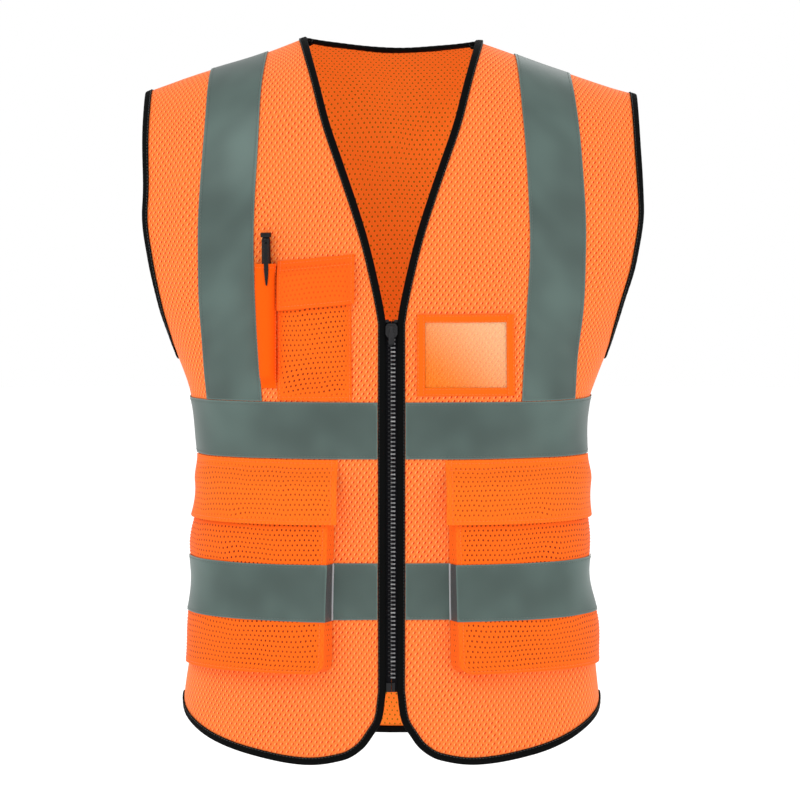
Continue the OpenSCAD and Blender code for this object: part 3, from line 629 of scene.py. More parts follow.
def rounded(o, width):
    """Rounds the edges of an object by a bevel."""
    bevel = o.modifiers.new("Rounding", "BEVEL")
    bevel.width, bevel.segments, bevel.limit_method = width, 2, "ANGLE"
    bevel.angle_limit = math.radians(35)


def fasten(o, body, slot, *nodes):
    """Rides on a body and stands for its nodes."""
    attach(o, body)
    if nodes:
        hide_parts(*nodes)
    return o


def span_back(o, slot, *nodes):
    """A piece across the centre back, from the right half to the left: bakes its place into its mesh and
    stands for its nodes.
    """
    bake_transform(o)
    if nodes:
        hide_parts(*nodes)


# ---------------------------------------------------------------- thread


STITCH, THREAD = 2.1 * MM, 0.24 * MM
THREAD_REST = 0.05 * MM


def thread_mesh(name, centre, along, up, finish):
    """Stitches at centres: each a small thread that dips at both ends."""
    around, shares = 5, np.array([-1, -0.6, 0.6, 1])
    cos, sin = circle(around)
    thick = np.array([0.45, 1, 1, 0.45])[None, :, None, None]
    dip = np.array([-0.9, 0.25, 0.25, -0.9]) * THREAD
    across = unit(np.cross(along, up))
    ring = (across[:, None, None] * cos[None, None, :, None]
            + up[:, None, None] * sin[None, None, :, None]) * THREAD * thick
    spine = (centre[:, None] + along[:, None] * (shares * STITCH / 2)[None, :, None]
             + up[:, None] * dip[None, :, None])
    points = (spine[:, :, None] + ring).reshape(-1, 3)
    return make_mesh(name, points, many_tubes(len(centre), len(shares), around), [finish])


def stitch_places(torso, points):
    """Where stitches fall along a line of points: distance run, centres and directions."""
    run = arc(points, 0)
    count = max(int(run[-1] / torso.t.stitch_pitch), 1)
    at = (np.arange(count) + 0.5) * run[-1] / count

    def along_line(places):
        return np.stack([np.interp(places, run, points[:, k]) for k in range(3)], -1)

    step = 0.3 * MM
    return run, at, along_line(at), unit(along_line(at + step) - along_line(at - step))


def stitches(torso, name, lines, finish):
    """Thread along lines (q, z, lift, side) over the cloth."""
    found = []
    for q, z, lift, side in lines:
        q = np.broadcast_to(q, z.shape)
        points = torso.place(q, z, lift, side)
        run, at, centre, along = stitch_places(torso, points)
        up = torso.outward(np.interp(at, run, q), np.interp(at, run, z)) * np.array([side, 1, 1])
        found.append((centre, along, up))
    return thread_mesh(name, *(np.concatenate(part) for part in zip(*found)), finish)


def thread_line(torso, name, lines, finish):
    """Thread along lines of points with the way up at each."""
    found = []
    for points, up in lines:
        run, at, centre, along = stitch_places(torso, points)
        ups = unit(np.stack([np.interp(at, run, up[:, k]) for k in range(3)], -1))
        found.append((centre, along, ups))
    return thread_mesh(name, *(np.concatenate(part) for part in zip(*found)), finish)


def tracks_over(shape, tracks, above, side):
    """Lines of thread that rest above a shape, along tracks of shares (u, v)."""
    found = []
    for u, v in tracks:
        q, z, lift = shape(u, v)
        found.append((q, z, lift + above, side))
    return found


# ---------------------------------------------------------------- materials


class Paint:
    """A node material, built up step by step."""

    def __init__(self, name):
        self.material = bpy.data.materials.new(name)
        self.material.use_nodes = True
        self.tree = self.material.node_tree
        self.shader = self.tree.nodes["Principled BSDF"]

    def node(self, kind, **choices):
        made = self.tree.nodes.new(kind)
        for name, value in choices.items():
            setattr(made, name, value)
        return made

    def feed(self, socket, value):
        if isinstance(value, bpy.types.NodeSocket):
            self.tree.links.new(value, socket)
        else:
            socket.default_value = value

    def math(self, operation, *values):
        made = self.node("ShaderNodeMath", operation=operation)
        for socket, value in zip(made.inputs, values):
            self.feed(socket, value)
        return made.outputs[0]

    def fade(self, value, start, end, out_start=0.0, out_end=1.0):
        """A smooth step from out_start to out_end while value goes from start to end."""
        made = self.node("ShaderNodeMapRange", interpolation_type="SMOOTHSTEP")
        for socket, number in zip(made.inputs, (value, start, end, out_start, out_end)):
            self.feed(socket, number)
        return made.outputs[0]

    def tint(self, part, a, b):
        made = self.node("ShaderNodeMix", data_type="RGBA")
        self.feed(made.inputs[0], part)
        self.feed(made.inputs[6], a if isinstance(a, bpy.types.NodeSocket) else (*a, 1))
        self.feed(made.inputs[7], b if isinstance(b, bpy.types.NodeSocket) else (*b, 1))
        return made.outputs[2]

    def noise(self, vector, scale, detail=2.0):
        made = self.node("ShaderNodeTexNoise")
        self.feed(made.inputs["Vector"], vector)
        made.inputs["Scale"].default_value = scale
        made.inputs["Detail"].default_value = detail
        return made.outputs["Fac"]

    def flat(self):
        """The cloth's flat coordinates in metres: the vector, across and down."""
        lines = self.node("ShaderNodeUVMap", uv_map="cloth").outputs[0]
        split = self.node("ShaderNodeSeparateXYZ")
        self.feed(split.inputs[0], lines)
        return lines, split.outputs[0], split.outputs[1]

    def where(self):
        return self.node("ShaderNodeTexCoord").outputs["Object"]

    def edge(self):
        return self.node("ShaderNodeAttribute", attribute_name="edge").outputs["Fac"]

    def bump(self, height, strength, distance):
        made = self.node("ShaderNodeBump")
        made.inputs["Strength"].default_value = strength
        made.inputs["Distance"].default_value = distance
        self.feed(made.inputs["Height"], height)
        self.feed(self.shader.inputs["Normal"], made.outputs[0])

    def finish(self, base, **constants):
        painted = isinstance(base, bpy.types.NodeSocket)
        self.feed(self.shader.inputs["Base Color"], base if painted else (*base, 1))
        for name, value in constants.items():
            self.feed(self.shader.inputs[name.replace("_", " ")], value)
        return self.material


def knit(name, look):
    """Knitted mesh: staggered leaning holes painted with the shade seen through them, a painted highlight on
    the raised loop beside each, and a fine yarn.
    """
    paint = Paint(name)
    lines, across, down = paint.flat()
    sway = paint.math("MULTIPLY", paint.math("SUBTRACT", paint.noise(lines, 14.0), 0.5), 0.012)
    rows = paint.math("DIVIDE", paint.math("ADD", down, sway), look.down)
    row = paint.math("FLOOR", rows)
    stagger = paint.math("MULTIPLY", paint.math("FLOORED_MODULO", row, 2.0), 0.5)
    columns = paint.math("ADD", paint.math("DIVIDE", paint.math("ADD", across, sway), look.across), stagger)
    y = paint.math("SUBTRACT", paint.math("FRACT", rows), 0.5)
    lean = paint.math("MULTIPLY", y, look.slant)
    x = paint.math("ADD", paint.math("SUBTRACT", paint.math("FRACT", columns), 0.5), lean)

    def oval(shift, wide, tall, inner, outer):
        dx = paint.math("MULTIPLY", paint.math("ADD", x, shift), look.across / wide)
        dy = paint.math("MULTIPLY", y, look.down / tall)
        reach = paint.math("SQRT", paint.math("ADD", paint.math("MULTIPLY", dx, dx),
                                              paint.math("MULTIPLY", dy, dy)))
        return paint.fade(reach, inner, outer, 1.0, 0.0)

    hem = paint.fade(paint.edge(), 3 * MM, 9 * MM, 0.25, 1.0)
    hole = paint.math("MULTIPLY", oval(0.0, look.hole_w, look.hole_h, 0.5, 1.15), hem)
    # The loop beside each hole: raised in the bump, and painted lighter as a highlight.
    loop = oval(0.27, look.hole_w * 0.7, look.hole_h * 0.95, 0.2, 1.2)
    wear = paint.noise(lines, 26.0, 3.0)
    patchy = paint.fade(wear, 0.35, 0.65, 0.82, 1.0)
    yarn = paint.noise(lines, 1900.0, 1.0)
    ground = paint.tint(paint.fade(yarn, 0.3, 0.7, 0.0, 0.22), look.ground, look.light)
    # Painted highlight: the loops are tinted towards the pale colour.
    ground = paint.tint(paint.math("MULTIPLY", loop, look.raised), ground, look.light)
    seen = paint.math("MULTIPLY", paint.math("MULTIPLY", hole, look.strength), patchy)
    # Painted shade: each hole gets the hole colour, standing in for the shade seen through it.
    base = paint.tint(seen, ground, look.hole)
    height = paint.math("SUBTRACT", paint.math("ADD", paint.math("MULTIPLY", loop, 0.35),
                                               paint.math("MULTIPLY", yarn, 0.3)), hole)
    paint.bump(height, 0.4, 0.35 * MM)
    # Painted light: the cloth glows in its ground colour by the painted glow.
    paint.feed(paint.shader.inputs["Emission Color"], (*look.ground, 1))
    return paint.finish(base, Roughness=paint.fade(yarn, 0.2, 0.8, 0.62, 0.8), Sheen_Weight=0.04,
                        Specular_IOR_Level=0.12, Emission_Strength=look.glow)


def reflective(name, base):
    """Glass bead tape: a fine grain with painted glints, soft broad painted shading and a paler edge."""
    paint = Paint(name)
    lines, across, down = paint.flat()
    grain = paint.noise(lines, 2600.0, 1.0)
    painted_shade_cloud = paint.noise(lines, 11.0, 2.0)
    weave = paint.math("MULTIPLY", paint.math("SINE", paint.math("MULTIPLY", across, 5200.0)),
                       paint.math("SINE", paint.math("MULTIPLY", down, 5200.0)))
    # Painted shading: broad clouds between a darker and a paler copy of the tape's colour, for the light it
    # reflects.
    painted_dark, pale = [c * 0.66 for c in base], [min(1, c * 1.36) for c in base]
    shade = paint.tint(paint.fade(painted_shade_cloud, 0.32, 0.68), painted_dark, pale)
    # Painted glints: the grain lifts specks towards a brighter colour.
    shade = paint.tint(paint.fade(grain, 0.3, 0.75, 0.0, 0.35), shade, [c * 1.5 for c in base])
    edge = paint.edge()
    rim = paint.fade(edge, 0.5 * MM, 1.6 * MM, 0.45, 0.0)
    shade = paint.tint(rim, shade, [min(1, c * 1.9) for c in base])
    ditch = paint.math("MULTIPLY", paint.fade(edge, 1.2 * MM, 2.2 * MM),
                       paint.fade(edge, 2.4 * MM, 3.4 * MM, 1.0, 0.0))
    height = paint.math("SUBTRACT", paint.math("ADD", paint.math("MULTIPLY", grain, 0.25),
                                               paint.math("MULTIPLY", weave, 0.12)), ditch)
    paint.bump(height, 0.35, 0.25 * MM)
    return paint.finish(shade, Roughness=paint.fade(grain, 0.2, 0.8, 0.36, 0.5), Metallic=0.35,
                        Specular_IOR_Level=0.5)


def piping(name, painted_dark, painted_bright):
    """The turned end of the tape, with painted light: a painted highlight beside the panel, and painted shade
    where it folds to the front.
    """
    paint = Paint(name)
    lines, across, _ = paint.flat()
    grain = paint.noise(lines, 1500.0, 2.0)
    # Painted highlight beside the panel, painted shade over the rest of the fold.
    shade = paint.tint(paint.fade(across, 3.2 * MM, 4.6 * MM), painted_bright, painted_dark)
    shade = paint.tint(paint.fade(grain, 0.35, 0.7, 0.0, 0.5), shade, [k * 0.5 for k in painted_bright])
    paint.bump(grain, 0.3, 0.2 * MM)
    return paint.finish(shade, Roughness=0.4, Specular_IOR_Level=0.4)


def woven(name, base, pale, rib=0.9 * MM, roughness=0.8, shine=0.06):
    """Narrow woven tape: fine ribs with a painted highlight on their crowns."""
    paint = Paint(name)
    lines, across, down = paint.flat()
    step = 2 * math.pi / rib
    ribs = paint.math("SINE", paint.math("MULTIPLY", down, step))
    warp = paint.math("SINE", paint.math("MULTIPLY", across, step * 0.7))
    cross = paint.math("MULTIPLY", ribs, warp)
    fluff = paint.noise(lines, 900.0, 3.0)
    # Painted highlight: the rib crowns are tinted towards the pale colour, broken up by the fluff.
    part = paint.math("MULTIPLY", paint.fade(cross, -0.6, 1.0), paint.fade(fluff, 0.25, 0.75, 0.35, 1.0))
    paint.bump(paint.math("ADD", cross, fluff), 0.4, 0.15 * MM)
    return paint.finish(paint.tint(part, base, pale), Roughness=roughness, Specular_IOR_Level=shine)


def strand(name, base, pale):
    """Sewing thread with a fine twist."""
    paint = Paint(name)
    place = paint.where()
    twist = paint.noise(place, 2200.0, 1.0)
    return paint.finish(paint.tint(paint.fade(twist, 0.35, 0.65), base, pale), Roughness=0.6,
                        Sheen_Weight=0.1)


def moulded(name, base, pale, roughness=0.3, shine=0.3, grain=700.0):
    """Moulded plastic or enamel: slight wear on its gloss and a fine skin."""
    paint = Paint(name)
    place = paint.where()
    skin = paint.noise(place, grain, 2.0)
    smear = paint.noise(place, 90.0, 3.0)
    paint.bump(skin, 0.12, 0.1 * MM)
    base_colour = paint.tint(paint.fade(smear, 0.4, 0.75, 0.0, 0.6), base, pale)
    return paint.finish(base_colour, Roughness=paint.fade(smear, 0.3, 0.7, roughness * 0.8, roughness * 1.3),
                        Specular_IOR_Level=shine)


def clear_film(name, tint):
    """Clear flexible film with a painted reflection: paler towards its upper outer corner."""
    paint = Paint(name)
    place = paint.where()
    wave = paint.noise(place, 45.0, 1.0)
    paint.bump(wave, 0.25, 0.4 * MM)
    _, across, down = paint.flat()
    # Painted reflection: a slope from the lower inner corner up to the upper outer one, towards the pale
    # tint.
    slope = paint.math("SUBTRACT", paint.math("MULTIPLY", across, 1.1), paint.math("MULTIPLY", down, 1.2))
    part = paint.fade(slope, -62 * MM, 78 * MM)
    return paint.finish(paint.tint(part, (1.0, 0.3, 0.01), tint), Roughness=0.3, Alpha=0.3,
                        Specular_IOR_Level=0.15)


def fuzzy(name, base, pale, scale):
    """Hook or loop tape: a dense pile."""
    paint = Paint(name)
    lines = paint.flat()[0]
    pile = paint.noise(lines, scale, 4.0)
    paint.bump(pile, 0.9, 0.5 * MM)
    return paint.finish(paint.tint(paint.fade(pile, 0.35, 0.7), base, pale), Roughness=0.9, Sheen_Weight=0.2)


def plain_stage(name, base):
    paint = Paint(name)
    dust = paint.noise(paint.where(), 3.0, 2.0)
    paint.feed(paint.shader.inputs["Emission Color"], (1, 1, 1, 1))
    return paint.finish(paint.tint(paint.fade(dust, 0.3, 0.7, 0.0, 0.05), base, [c * 0.96 for c in base]),
                        Roughness=0.95, Specular_IOR_Level=0.1, Emission_Strength=0.22)


MATERIALS = {}


def material(name):
    """A material by name, made once."""
    if name not in MATERIALS:
        v, c = settings(), settings().looks
        makers = {
            "panel_mesh": lambda n: knit(n, v.panel_knit),
            "chest_flap_cloth": lambda n: knit(n, v.chest_flap_knit),
            "inside_mesh": lambda n: knit(n, v.inside_knit),
            "pocket_mesh": lambda n: knit(n, v.pocket_knit),
            "flap_cloth": lambda n: knit(n, v.flap_knit),
            "reflective_tape": lambda n: reflective(n, c.tape),
            "plain_orange": lambda n: woven(n, (0.92, 0.1, 0.002), (1.0, 0.135, 0.006), rib=1.1 * MM),
            "bright_fold": lambda n: piping(n, (0.02, 0.017, 0.017), (0.5, 0.52, 0.54)),
            "binding": lambda n: woven(n, c.binding, [k * 2.6 for k in c.binding], rib=0.8 * MM),
            "zip_ribbon": lambda n: woven(n, c.zip_black, [k * 3.0 for k in c.zip_black], rib=0.7 * MM),
            "card_ribbon": lambda n: woven(n, c.ribbon, (1.0, 0.17, 0.014), rib=1.0 * MM, roughness=0.6),
            "orange_thread": lambda n: strand(n, c.thread, (1.0, 0.2, 0.03)),
            "grey_thread": lambda n: strand(n, c.tape_thread, (0.13, 0.165, 0.15)),
            "black_thread": lambda n: strand(n, (0.02, 0.022, 0.022), (0.05, 0.055, 0.055)),
            "zip_plastic": lambda n: moulded(n, c.zip_black, (0.02, 0.02, 0.022), roughness=0.25,
                                             shine=0.25),
            # The wearer's left row: a lighter copy of the black plastic, a painted highlight.
            "bright_teeth": lambda n: moulded(n, (0.11, 0.11, 0.112), (0.5, 0.5, 0.5), roughness=0.18,
                                              shine=0.8, grain=1500.0),
            "slider_enamel": lambda n: moulded(n, (0.006, 0.006, 0.007), (0.02, 0.02, 0.022),
                                               roughness=0.22, shine=0.3),
            "pen_plastic": lambda n: moulded(n, (0.003, 0.003, 0.0035), (0.008, 0.008, 0.009),
                                             roughness=0.2, shine=0.22),
            "pen_body": lambda n: moulded(n, (0.05, 0.008, 0.006), (0.1, 0.02, 0.015), roughness=0.25,
                                          shine=0.3),
            "window_film": lambda n: clear_film(n, c.film),
            "loop_pile": lambda n: fuzzy(n, (0.01, 0.01, 0.011), (0.05, 0.05, 0.055), 1100.0),
            "hook_pile": lambda n: fuzzy(n, (0.008, 0.008, 0.009), (0.04, 0.04, 0.045), 650.0),
            "studio_stage": lambda n: plain_stage(n, c.stage),
        }
        MATERIALS[name] = makers[name](name)
    return MATERIALS[name]


# ---------------------------------------------------------------- panels


def mirrored_back(torso, q, z, lift):
    """Grids of the wearer's left and right, joined at the centre back. q falls from 2 along each row."""
    left = torso.place(q, z, lift, LEFT)[:, ::-1]
    right = torso.place(q, z, lift, RIGHT)[:, 1:]
    return np.concatenate([left, right], 1)


def back_lines(torso, q, z):
    lines = torso.flat(q, z)
    lines[..., 0] = torso.flat(np.full_like(q, 2.0), z)[..., 0] - lines[..., 0]
    right = lines[:, 1:] * np.array([-1, 1])
    return np.concatenate([lines[:, ::-1], right], 1)


CUT_SPARE = 2 * MM


def cut_size(points):
    """Width, length and area of the flat cloth that covers a grid of points, to the millimetre."""
    sides = [arc(points, 1)[:, -1].max(), arc(points, 0)[-1].max()]
    one, other = points[1:, 1:] - points[:-1, :-1], points[1:, :-1] - points[:-1, 1:]
    twice = np.linalg.norm(np.cross(one, other), axis=-1).sum()
    width, long = (round(float(s), 3) + CUT_SPARE for s in sides)
    return (width, long), round(float(twice) / 2, 5)


def declare(o, points, held, *rests_on):
    """Works out the size a piece of sheet was cut to; the result is not used."""
    flat, area = cut_size(points)


def cloth_piece(torso, name, q, z, lift, thick, side, mats, slot, body=None, held="stretched", uv=None,
                parts=(0, 0, 0), rests=(), nodes=None):
    """Lays a sheet on the body, fastens it and works out its cut size."""
    o = lay(torso, name + "_sewn", q, z, lift, thick, side, mats, uv, parts)
    fasten(o, body or HALF_OF[side], slot, *(nodes or (name,)))
    declare(o, torso.place(q, z, lift, side), held, *rests)
    return o


def sew_front_panel(torso, side):
    v = settings()
    u, t = net(v.rows, v.columns)
    q, z = torso.front_cut(u, torso.down(t))
    lines = torso.flat(q, z) * np.array([side, 1])
    mats = [material("panel_mesh"), material("inside_mesh")]
    cloth_piece(torso, SIDES[side] + "_front_panel", q, z, 0, torso.s.cloth, side, mats, "orange_mesh",
                held="hung", uv=lines, parts=(0, 1, 0))


def sew_back_panel(torso):
    v = settings()
    u, t = net(v.rows, v.columns)
    q, z = torso.back_cut(u, torso.down(t))
    half = torso.s.cloth / 2
    outer, inner = (mirrored_back(torso, q, z, lift) for lift in (half, -half))
    mats = [material("panel_mesh"), material("inside_mesh")]
    o = shell("back_panel", outer, inner, mats, back_lines(torso, q, z), (0, 1, 0))
    span_back(o, "orange_mesh", "left_back_panel", "right_back_panel")
    declare(o, outer, "hung", "left_front_panel", "right_front_panel")


# ---------------------------------------------------------------- bindings

STITCH_IN, STITCH_UP = 4.9 * MM, 1.95 * MM
FOLD_OUT = ((5.8, 1.62), (5.4, 1.82), (3.6, 1.9), (1.2, 1.78), (-0.3, 1.45), (-1.0, 0.85), (-1.2, 0))
FOLD_IN = ((5.8, 1.1), (3.0, 1.12), (0.4, 1.05), (-0.4, 0.6))


def evenly(torso, path, count):
    """Places (q, z) spaced evenly over the cloth along a path of shares."""
    q, z = path((1 - np.cos(np.linspace(0, math.pi, 3000))) / 2)
    run = arc(torso.skin(q, z), 0)
    at = np.linspace(0, run[-1], count)
    return np.interp(at, run, q), np.interp(at, run, z)


def fold_section():
    """The section of a folded binding: distance inward from the cut edge, and height."""
    outside = list(FOLD_OUT) + [(s, -h) for s, h in FOLD_OUT[-2::-1]]
    inside = [(s, -h) for s, h in FOLD_IN] + [(s, h) for s, h in FOLD_IN[::-1]]
    return np.array(outside + inside) * MM


def edge_frames(torso, q, z, side, goal):
    """Points along an edge with the ways along the cloth and out of it. goal (q, z) is inside the cloth."""
    dq, dz = np.gradient(q), np.gradient(z)
    edge = torso.place(q, z, 0, side)
    step_q, step_z = torso.inward(q, z, dq, dz, 1)
    reach = torso.t.binding_w
    ahead = torso.place(np.clip(q + step_q * reach, 0, 2), z + step_z * reach, 0, side)
    middle = torso.place(np.full(1, goal[0]), np.full(1, goal[1]), 0, side)
    if ((ahead - edge) * (middle - edge)).sum() < 0:
        ahead = torso.place(np.clip(q - step_q * reach, 0, 2), z - step_z * reach, 0, side)
    along = unit(np.gradient(edge, axis=0))
    inward = ahead - edge
    inward = unit(inward - along * (inward * along).sum(-1, keepdims=True))
    up = np.cross(inward, along)
    outward = torso.outward(np.clip(q, 0.002, 1.998), z) * np.array([side, 1, 1])
    up = up * np.sign((up * outward).sum(-1, keepdims=True))
    return edge, inward, up


def folded(frames, section):
    """Rings of a folded binding along frames, with its small puckers."""
    edge, inward, up = frames
    run = arc(edge, 0)[:, None, None]
    pucker = 1 + 0.045 * np.sin(run / (1.15 * MM)) + 0.05 * np.sin(run / (7.3 * MM))
    s, h = section[None, :, :1], section[None, :, 1:]
    return edge[:, None] + inward[:, None] * s + up[:, None] * h * pucker


def edge_stitches(frames):
    """The line of thread along a binding, and the way up along it."""
    edge, inward, up = frames
    return edge + inward * STITCH_IN + up * STITCH_UP, up


def bound(torso, name, piece, frames, closed=False):
    """A folded binding along frames and its line of thread."""
    return (sweep(name, folded(frames, fold_section()), [material("binding")], closed),
            thread_line(torso, piece + "_stitching", [edge_stitches(frames)], material("black_thread")))


def bind_edges(torso, side):
    """The bound front edge, armhole and front hem of one half."""
    name, arm = SIDES[side], torso.arm_part
    q, z = evenly(torso, torso.front_inner, 260)
    edges = {"front_edge_binding": edge_frames(torso, q, z, side, (0.5, -0.45))}
    q, z = evenly(torso, lambda v: torso.front_outer(mix(0.0012, arm - 0.0004, v)), 150)
    q, z = q[::-1], z[::-1]
    front = edge_frames(torso, q, z, side, (0.5, -0.25))
    back = edge_frames(torso, 2 - q[::-1], z[::-1], side, (1.5, -0.25))
    edges["armhole_binding"] = [np.concatenate([a, b]) for a, b in zip(front, back)]
    q, z = evenly(torso, torso.front_hem, 200)
    edges["front_hem_binding"] = edge_frames(torso, q, z, side, (0.5, -0.4))
    for edge, frames in edges.items():
        piece = name + "_" + edge
        o, thread = bound(torso, piece + "_folded", piece, frames, closed=edge == "armhole_binding")
        fasten(o, HALF_OF[side], "black_binding", piece)
        fasten(thread, HALF_OF[side], "black_binding")


def bind_back(torso):
    """The bindings of the back neck and back hem, which cross the centre back."""
    for piece, path, goal in (("back_neck_binding", torso.back_neck, (1.6, -0.2)),
                              ("back_hem_binding", torso.back_hem, (1.5, -0.4))):
        q, z = evenly(torso, path, 130)
        halves = [edge_frames(torso, q, z, side, goal) for side in (LEFT, RIGHT)]
        both = [np.concatenate([a[::-1], b[1:]]) for a, b in zip(*halves)]
        o, thread = bound(torso, piece, piece, both)
        span_back(o, "black_binding", "left_" + piece, "right_" + piece)
        span_back(thread, "black_binding")


# ---------------------------------------------------------------- reflective tape

TAPE_IN = 1.1 * MM


def tape_levels(torso):
    return (("chest", torso.t.chest_band_drop), ("waist", torso.t.waist_band_drop))


def band_grid(torso, drop, near, far, columns):
    u, t = net(14, columns)
    z = -drop - torso.t.tape_w * t
    return mix(torso.q_at(near, z), far, u), z


def lay_bands(torso):
    near = torso.t.zip_gap_half + torso.t.binding_w + 0.4 * MM
    lift, thick = TAPE_IN + torso.t.tape_t / 2, torso.t.tape_t
    for kind, drop in tape_levels(torso):
        for side in (LEFT, RIGHT):
            q, z = band_grid(torso, drop, near, 1.0, 110)
            name = "%s_front_%s_band" % (SIDES[side], kind)
            cloth_piece(torso, name, q, z, lift, thick, side, [material("reflective_tape")],
                        "reflective_tape", rests=(SIDES[side] + "_front_panel",))
        q, z = band_grid(torso, drop, SEAM, 1.0, 110)
        outer, inner = (mirrored_back(torso, 2 - q, z, lift + s * thick / 2) for s in (1, -1))
        name = "back_%s_band" % kind
        o = shell(name, outer, inner, [material("reflective_tape")])
        span_back(o, "reflective_tape", "left_" + name, "right_" + name)
        declare(o, outer, "stretched", "back_panel")


def brace_centre(torso, z):
    bow = [(p, b * MM) for p, b in BRACE_BOW]
    return torso.t.brace_x + curve(bow, -z / torso.t.chest_band_drop)


def brace_grid(torso, u, t):
    drop = torso.t.chest_band_drop
    part = FRONT_ROUND / (drop - torso.s.shoulder_fall / 2)
    fall = np.where(t < 0.5, part * (1 - np.cos(math.pi * np.minimum(t, 0.5))), mix(part, 1, 2 * t - 1))
    x = brace_centre(torso, -drop * fall) + (u - 0.5) * torso.t.tape_w
    z = mix(torso.seam_z(x), -drop + 0.5 * MM, fall)
    return torso.q_at(x, z), z


def lay_braces(torso):
    lift = TAPE_IN + torso.t.tape_t / 2
    u, t = net(110, 14)
    q, z = brace_grid(torso, u, t)
    for side in (LEFT, RIGHT):
        for part, turned in (("front", q), ("back", 2 - q)):
            name = "%s_%s_brace" % (SIDES[side], part)
            panel = SIDES[side] + "_front_panel" if part == "front" else "back_panel"
            cloth_piece(torso, name, turned, z, lift, torso.t.tape_t, side, [material("reflective_tape")],
                        "reflective_tape", rests=(panel,))


def band_rows(torso, inset, run):
    """Heights of the two rows of thread along each level band."""
    for _, drop in tape_levels(torso):
        for z in (-drop - inset, -drop - torso.t.tape_w + inset):
            yield np.full_like(run, z)


def tape_stitching(torso):
    """Two rows of thread along each tape."""
    top = TAPE_IN + torso.t.tape_t + THREAD_REST
    inset = 2.3 * MM
    near = torso.t.zip_gap_half + torso.t.binding_w + 2 * MM
    run = np.linspace(0, 1, 160)
    for side in (LEFT, RIGHT):
        lines = [(mix(torso.q_at(near, z), 1.0, run), z, top, side) for z in band_rows(torso, inset, run)]
        for u in (inset / torso.t.tape_w, 1 - inset / torso.t.tape_w):
            q, z = brace_grid(torso, np.full_like(run, u), mix(0.02, 1, run))
            lines += [(q, z, top, side), (2 - q, z, top, side)]
        thread = stitches(torso, SIDES[side] + "_tape_stitching", lines, material("grey_thread"))
        fasten(thread, HALF_OF[side], "reflective_tape")
    back = mix(1.999, 1.0, run)
    lines = [(back, z, top, side) for z in band_rows(torso, inset, run) for side in (LEFT, RIGHT)]
    thread = stitches(torso, "back_tape_stitching", lines, material("grey_thread"))
    span_back(thread, "reflective_tape")


# ---------------------------------------------------------------- lower pockets

PATCH_T = 0.6 * MM
CLOTH_T = 0.6 * MM
FLAP_T = 0.8 * MM
POCKET_LOW = TAPE_IN + 0.5 * MM + AIR
POCKET_SEAT = POCKET_LOW + CLOTH_T / 2
PANEL_HALF = 0.4 * MM
SEAT = PANEL_HALF + AIR + CLOTH_T / 2
FLAP_CLEAR = CLOTH_T + 2 * PATCH_T + 1.35 * MM
SIDE_Q, FLAP_Q = 0.885, 0.9


class LowerPocket:
    """The shape of one lower pocket, on the wearer's left."""

    def __init__(self, torso):
        self.torso, self.p = torso, torso.p
        self.tall = torso.p.bottom_drop - torso.p.mouth_drop

        self.tape_top = (torso.t.waist_band_drop - torso.p.mouth_drop) / self.tall
        self.tape_share = torso.t.tape_w / self.tall

    def z(self, v):
        return -self.p.mouth_drop - self.tall * v

    def depth(self, v):
        return mix(self.p.mouth_lift, self.p.pocket_lift, ease(v / 0.7))

    def near(self, v):
        """The front's inner edge, rounded off at the foot."""
        r = self.p.corner_r
        t = np.clip((v * self.tall - (self.tall - r)) / r, 0, 1)
        return self.p.pocket_in + (4 + 4 * v) * MM + r * (1 - np.sqrt(np.maximum(0, 1 - t * t)))

    def gusset_foot(self, v):
        """Where the gusset's inner side meets the panel."""
        return self.torso.q_at(self.p.pocket_in + (self.near(v) - self.near(0 * v)) * 0.6, self.z(v))

    def share(self, u):
        return 1 - 0.9 * np.clip(u, 0, 1) ** 2.2

    def lift(self, u, v):
        return POCKET_SEAT + self.depth(v) * self.share(u)

    def at(self, u, v, extra=0.0):
        z = self.z(v)
        return mix(self.torso.q_at(self.near(v), z), SIDE_Q, u), z, self.lift(u, v) + extra

    def flap_at(self, u, v):
        p, torso = self.p, self.torso
        z = -p.flap_drop - p.flap_h * v
        v2 = (-z - p.mouth_drop) / self.tall
        near = torso.q_at(p.pocket_in - p.flap_overhang, z)
        q = mix(near, FLAP_Q, u)
        first = torso.q_at(p.pocket_in + 4 * MM, z)
        u2 = np.clip((q - first) / (SIDE_Q - first), 0, 1)
        stand = self.depth(np.maximum(v2, 0)) * self.share(u2) + FLAP_CLEAR
        rise = ease(v * p.flap_h / (p.mouth_drop - p.flap_drop - 3 * MM))
        curl = 0.9 * MM * np.sin(math.pi * np.clip(u, 0, 1)) * v
        return q, z, mix(SEAT + 0.1 * MM, POCKET_SEAT + 0.1 * MM + stand + curl, rise)


def sew_pocket_front(torso, pocket, side):
    u, v = net(70, 80)
    q, z, lift = pocket.at(u, v)
    name = SIDES[side] + "_pocket_front"
    cloth_piece(torso, name, q, z, lift, CLOTH_T, side, [material("pocket_mesh")], "pocket_mesh",
                rests=(SIDES[side] + "_front_panel",))


def gusset_path():
    """Shares (u, v) along the pocket's inner side and foot."""
    down = np.linspace(0, 1, 60)
    along = np.linspace(0, 0.97, 70)[1:]
    u = np.concatenate([np.zeros_like(down), along])
    v = np.concatenate([down, np.ones_like(along)])
    return u, v


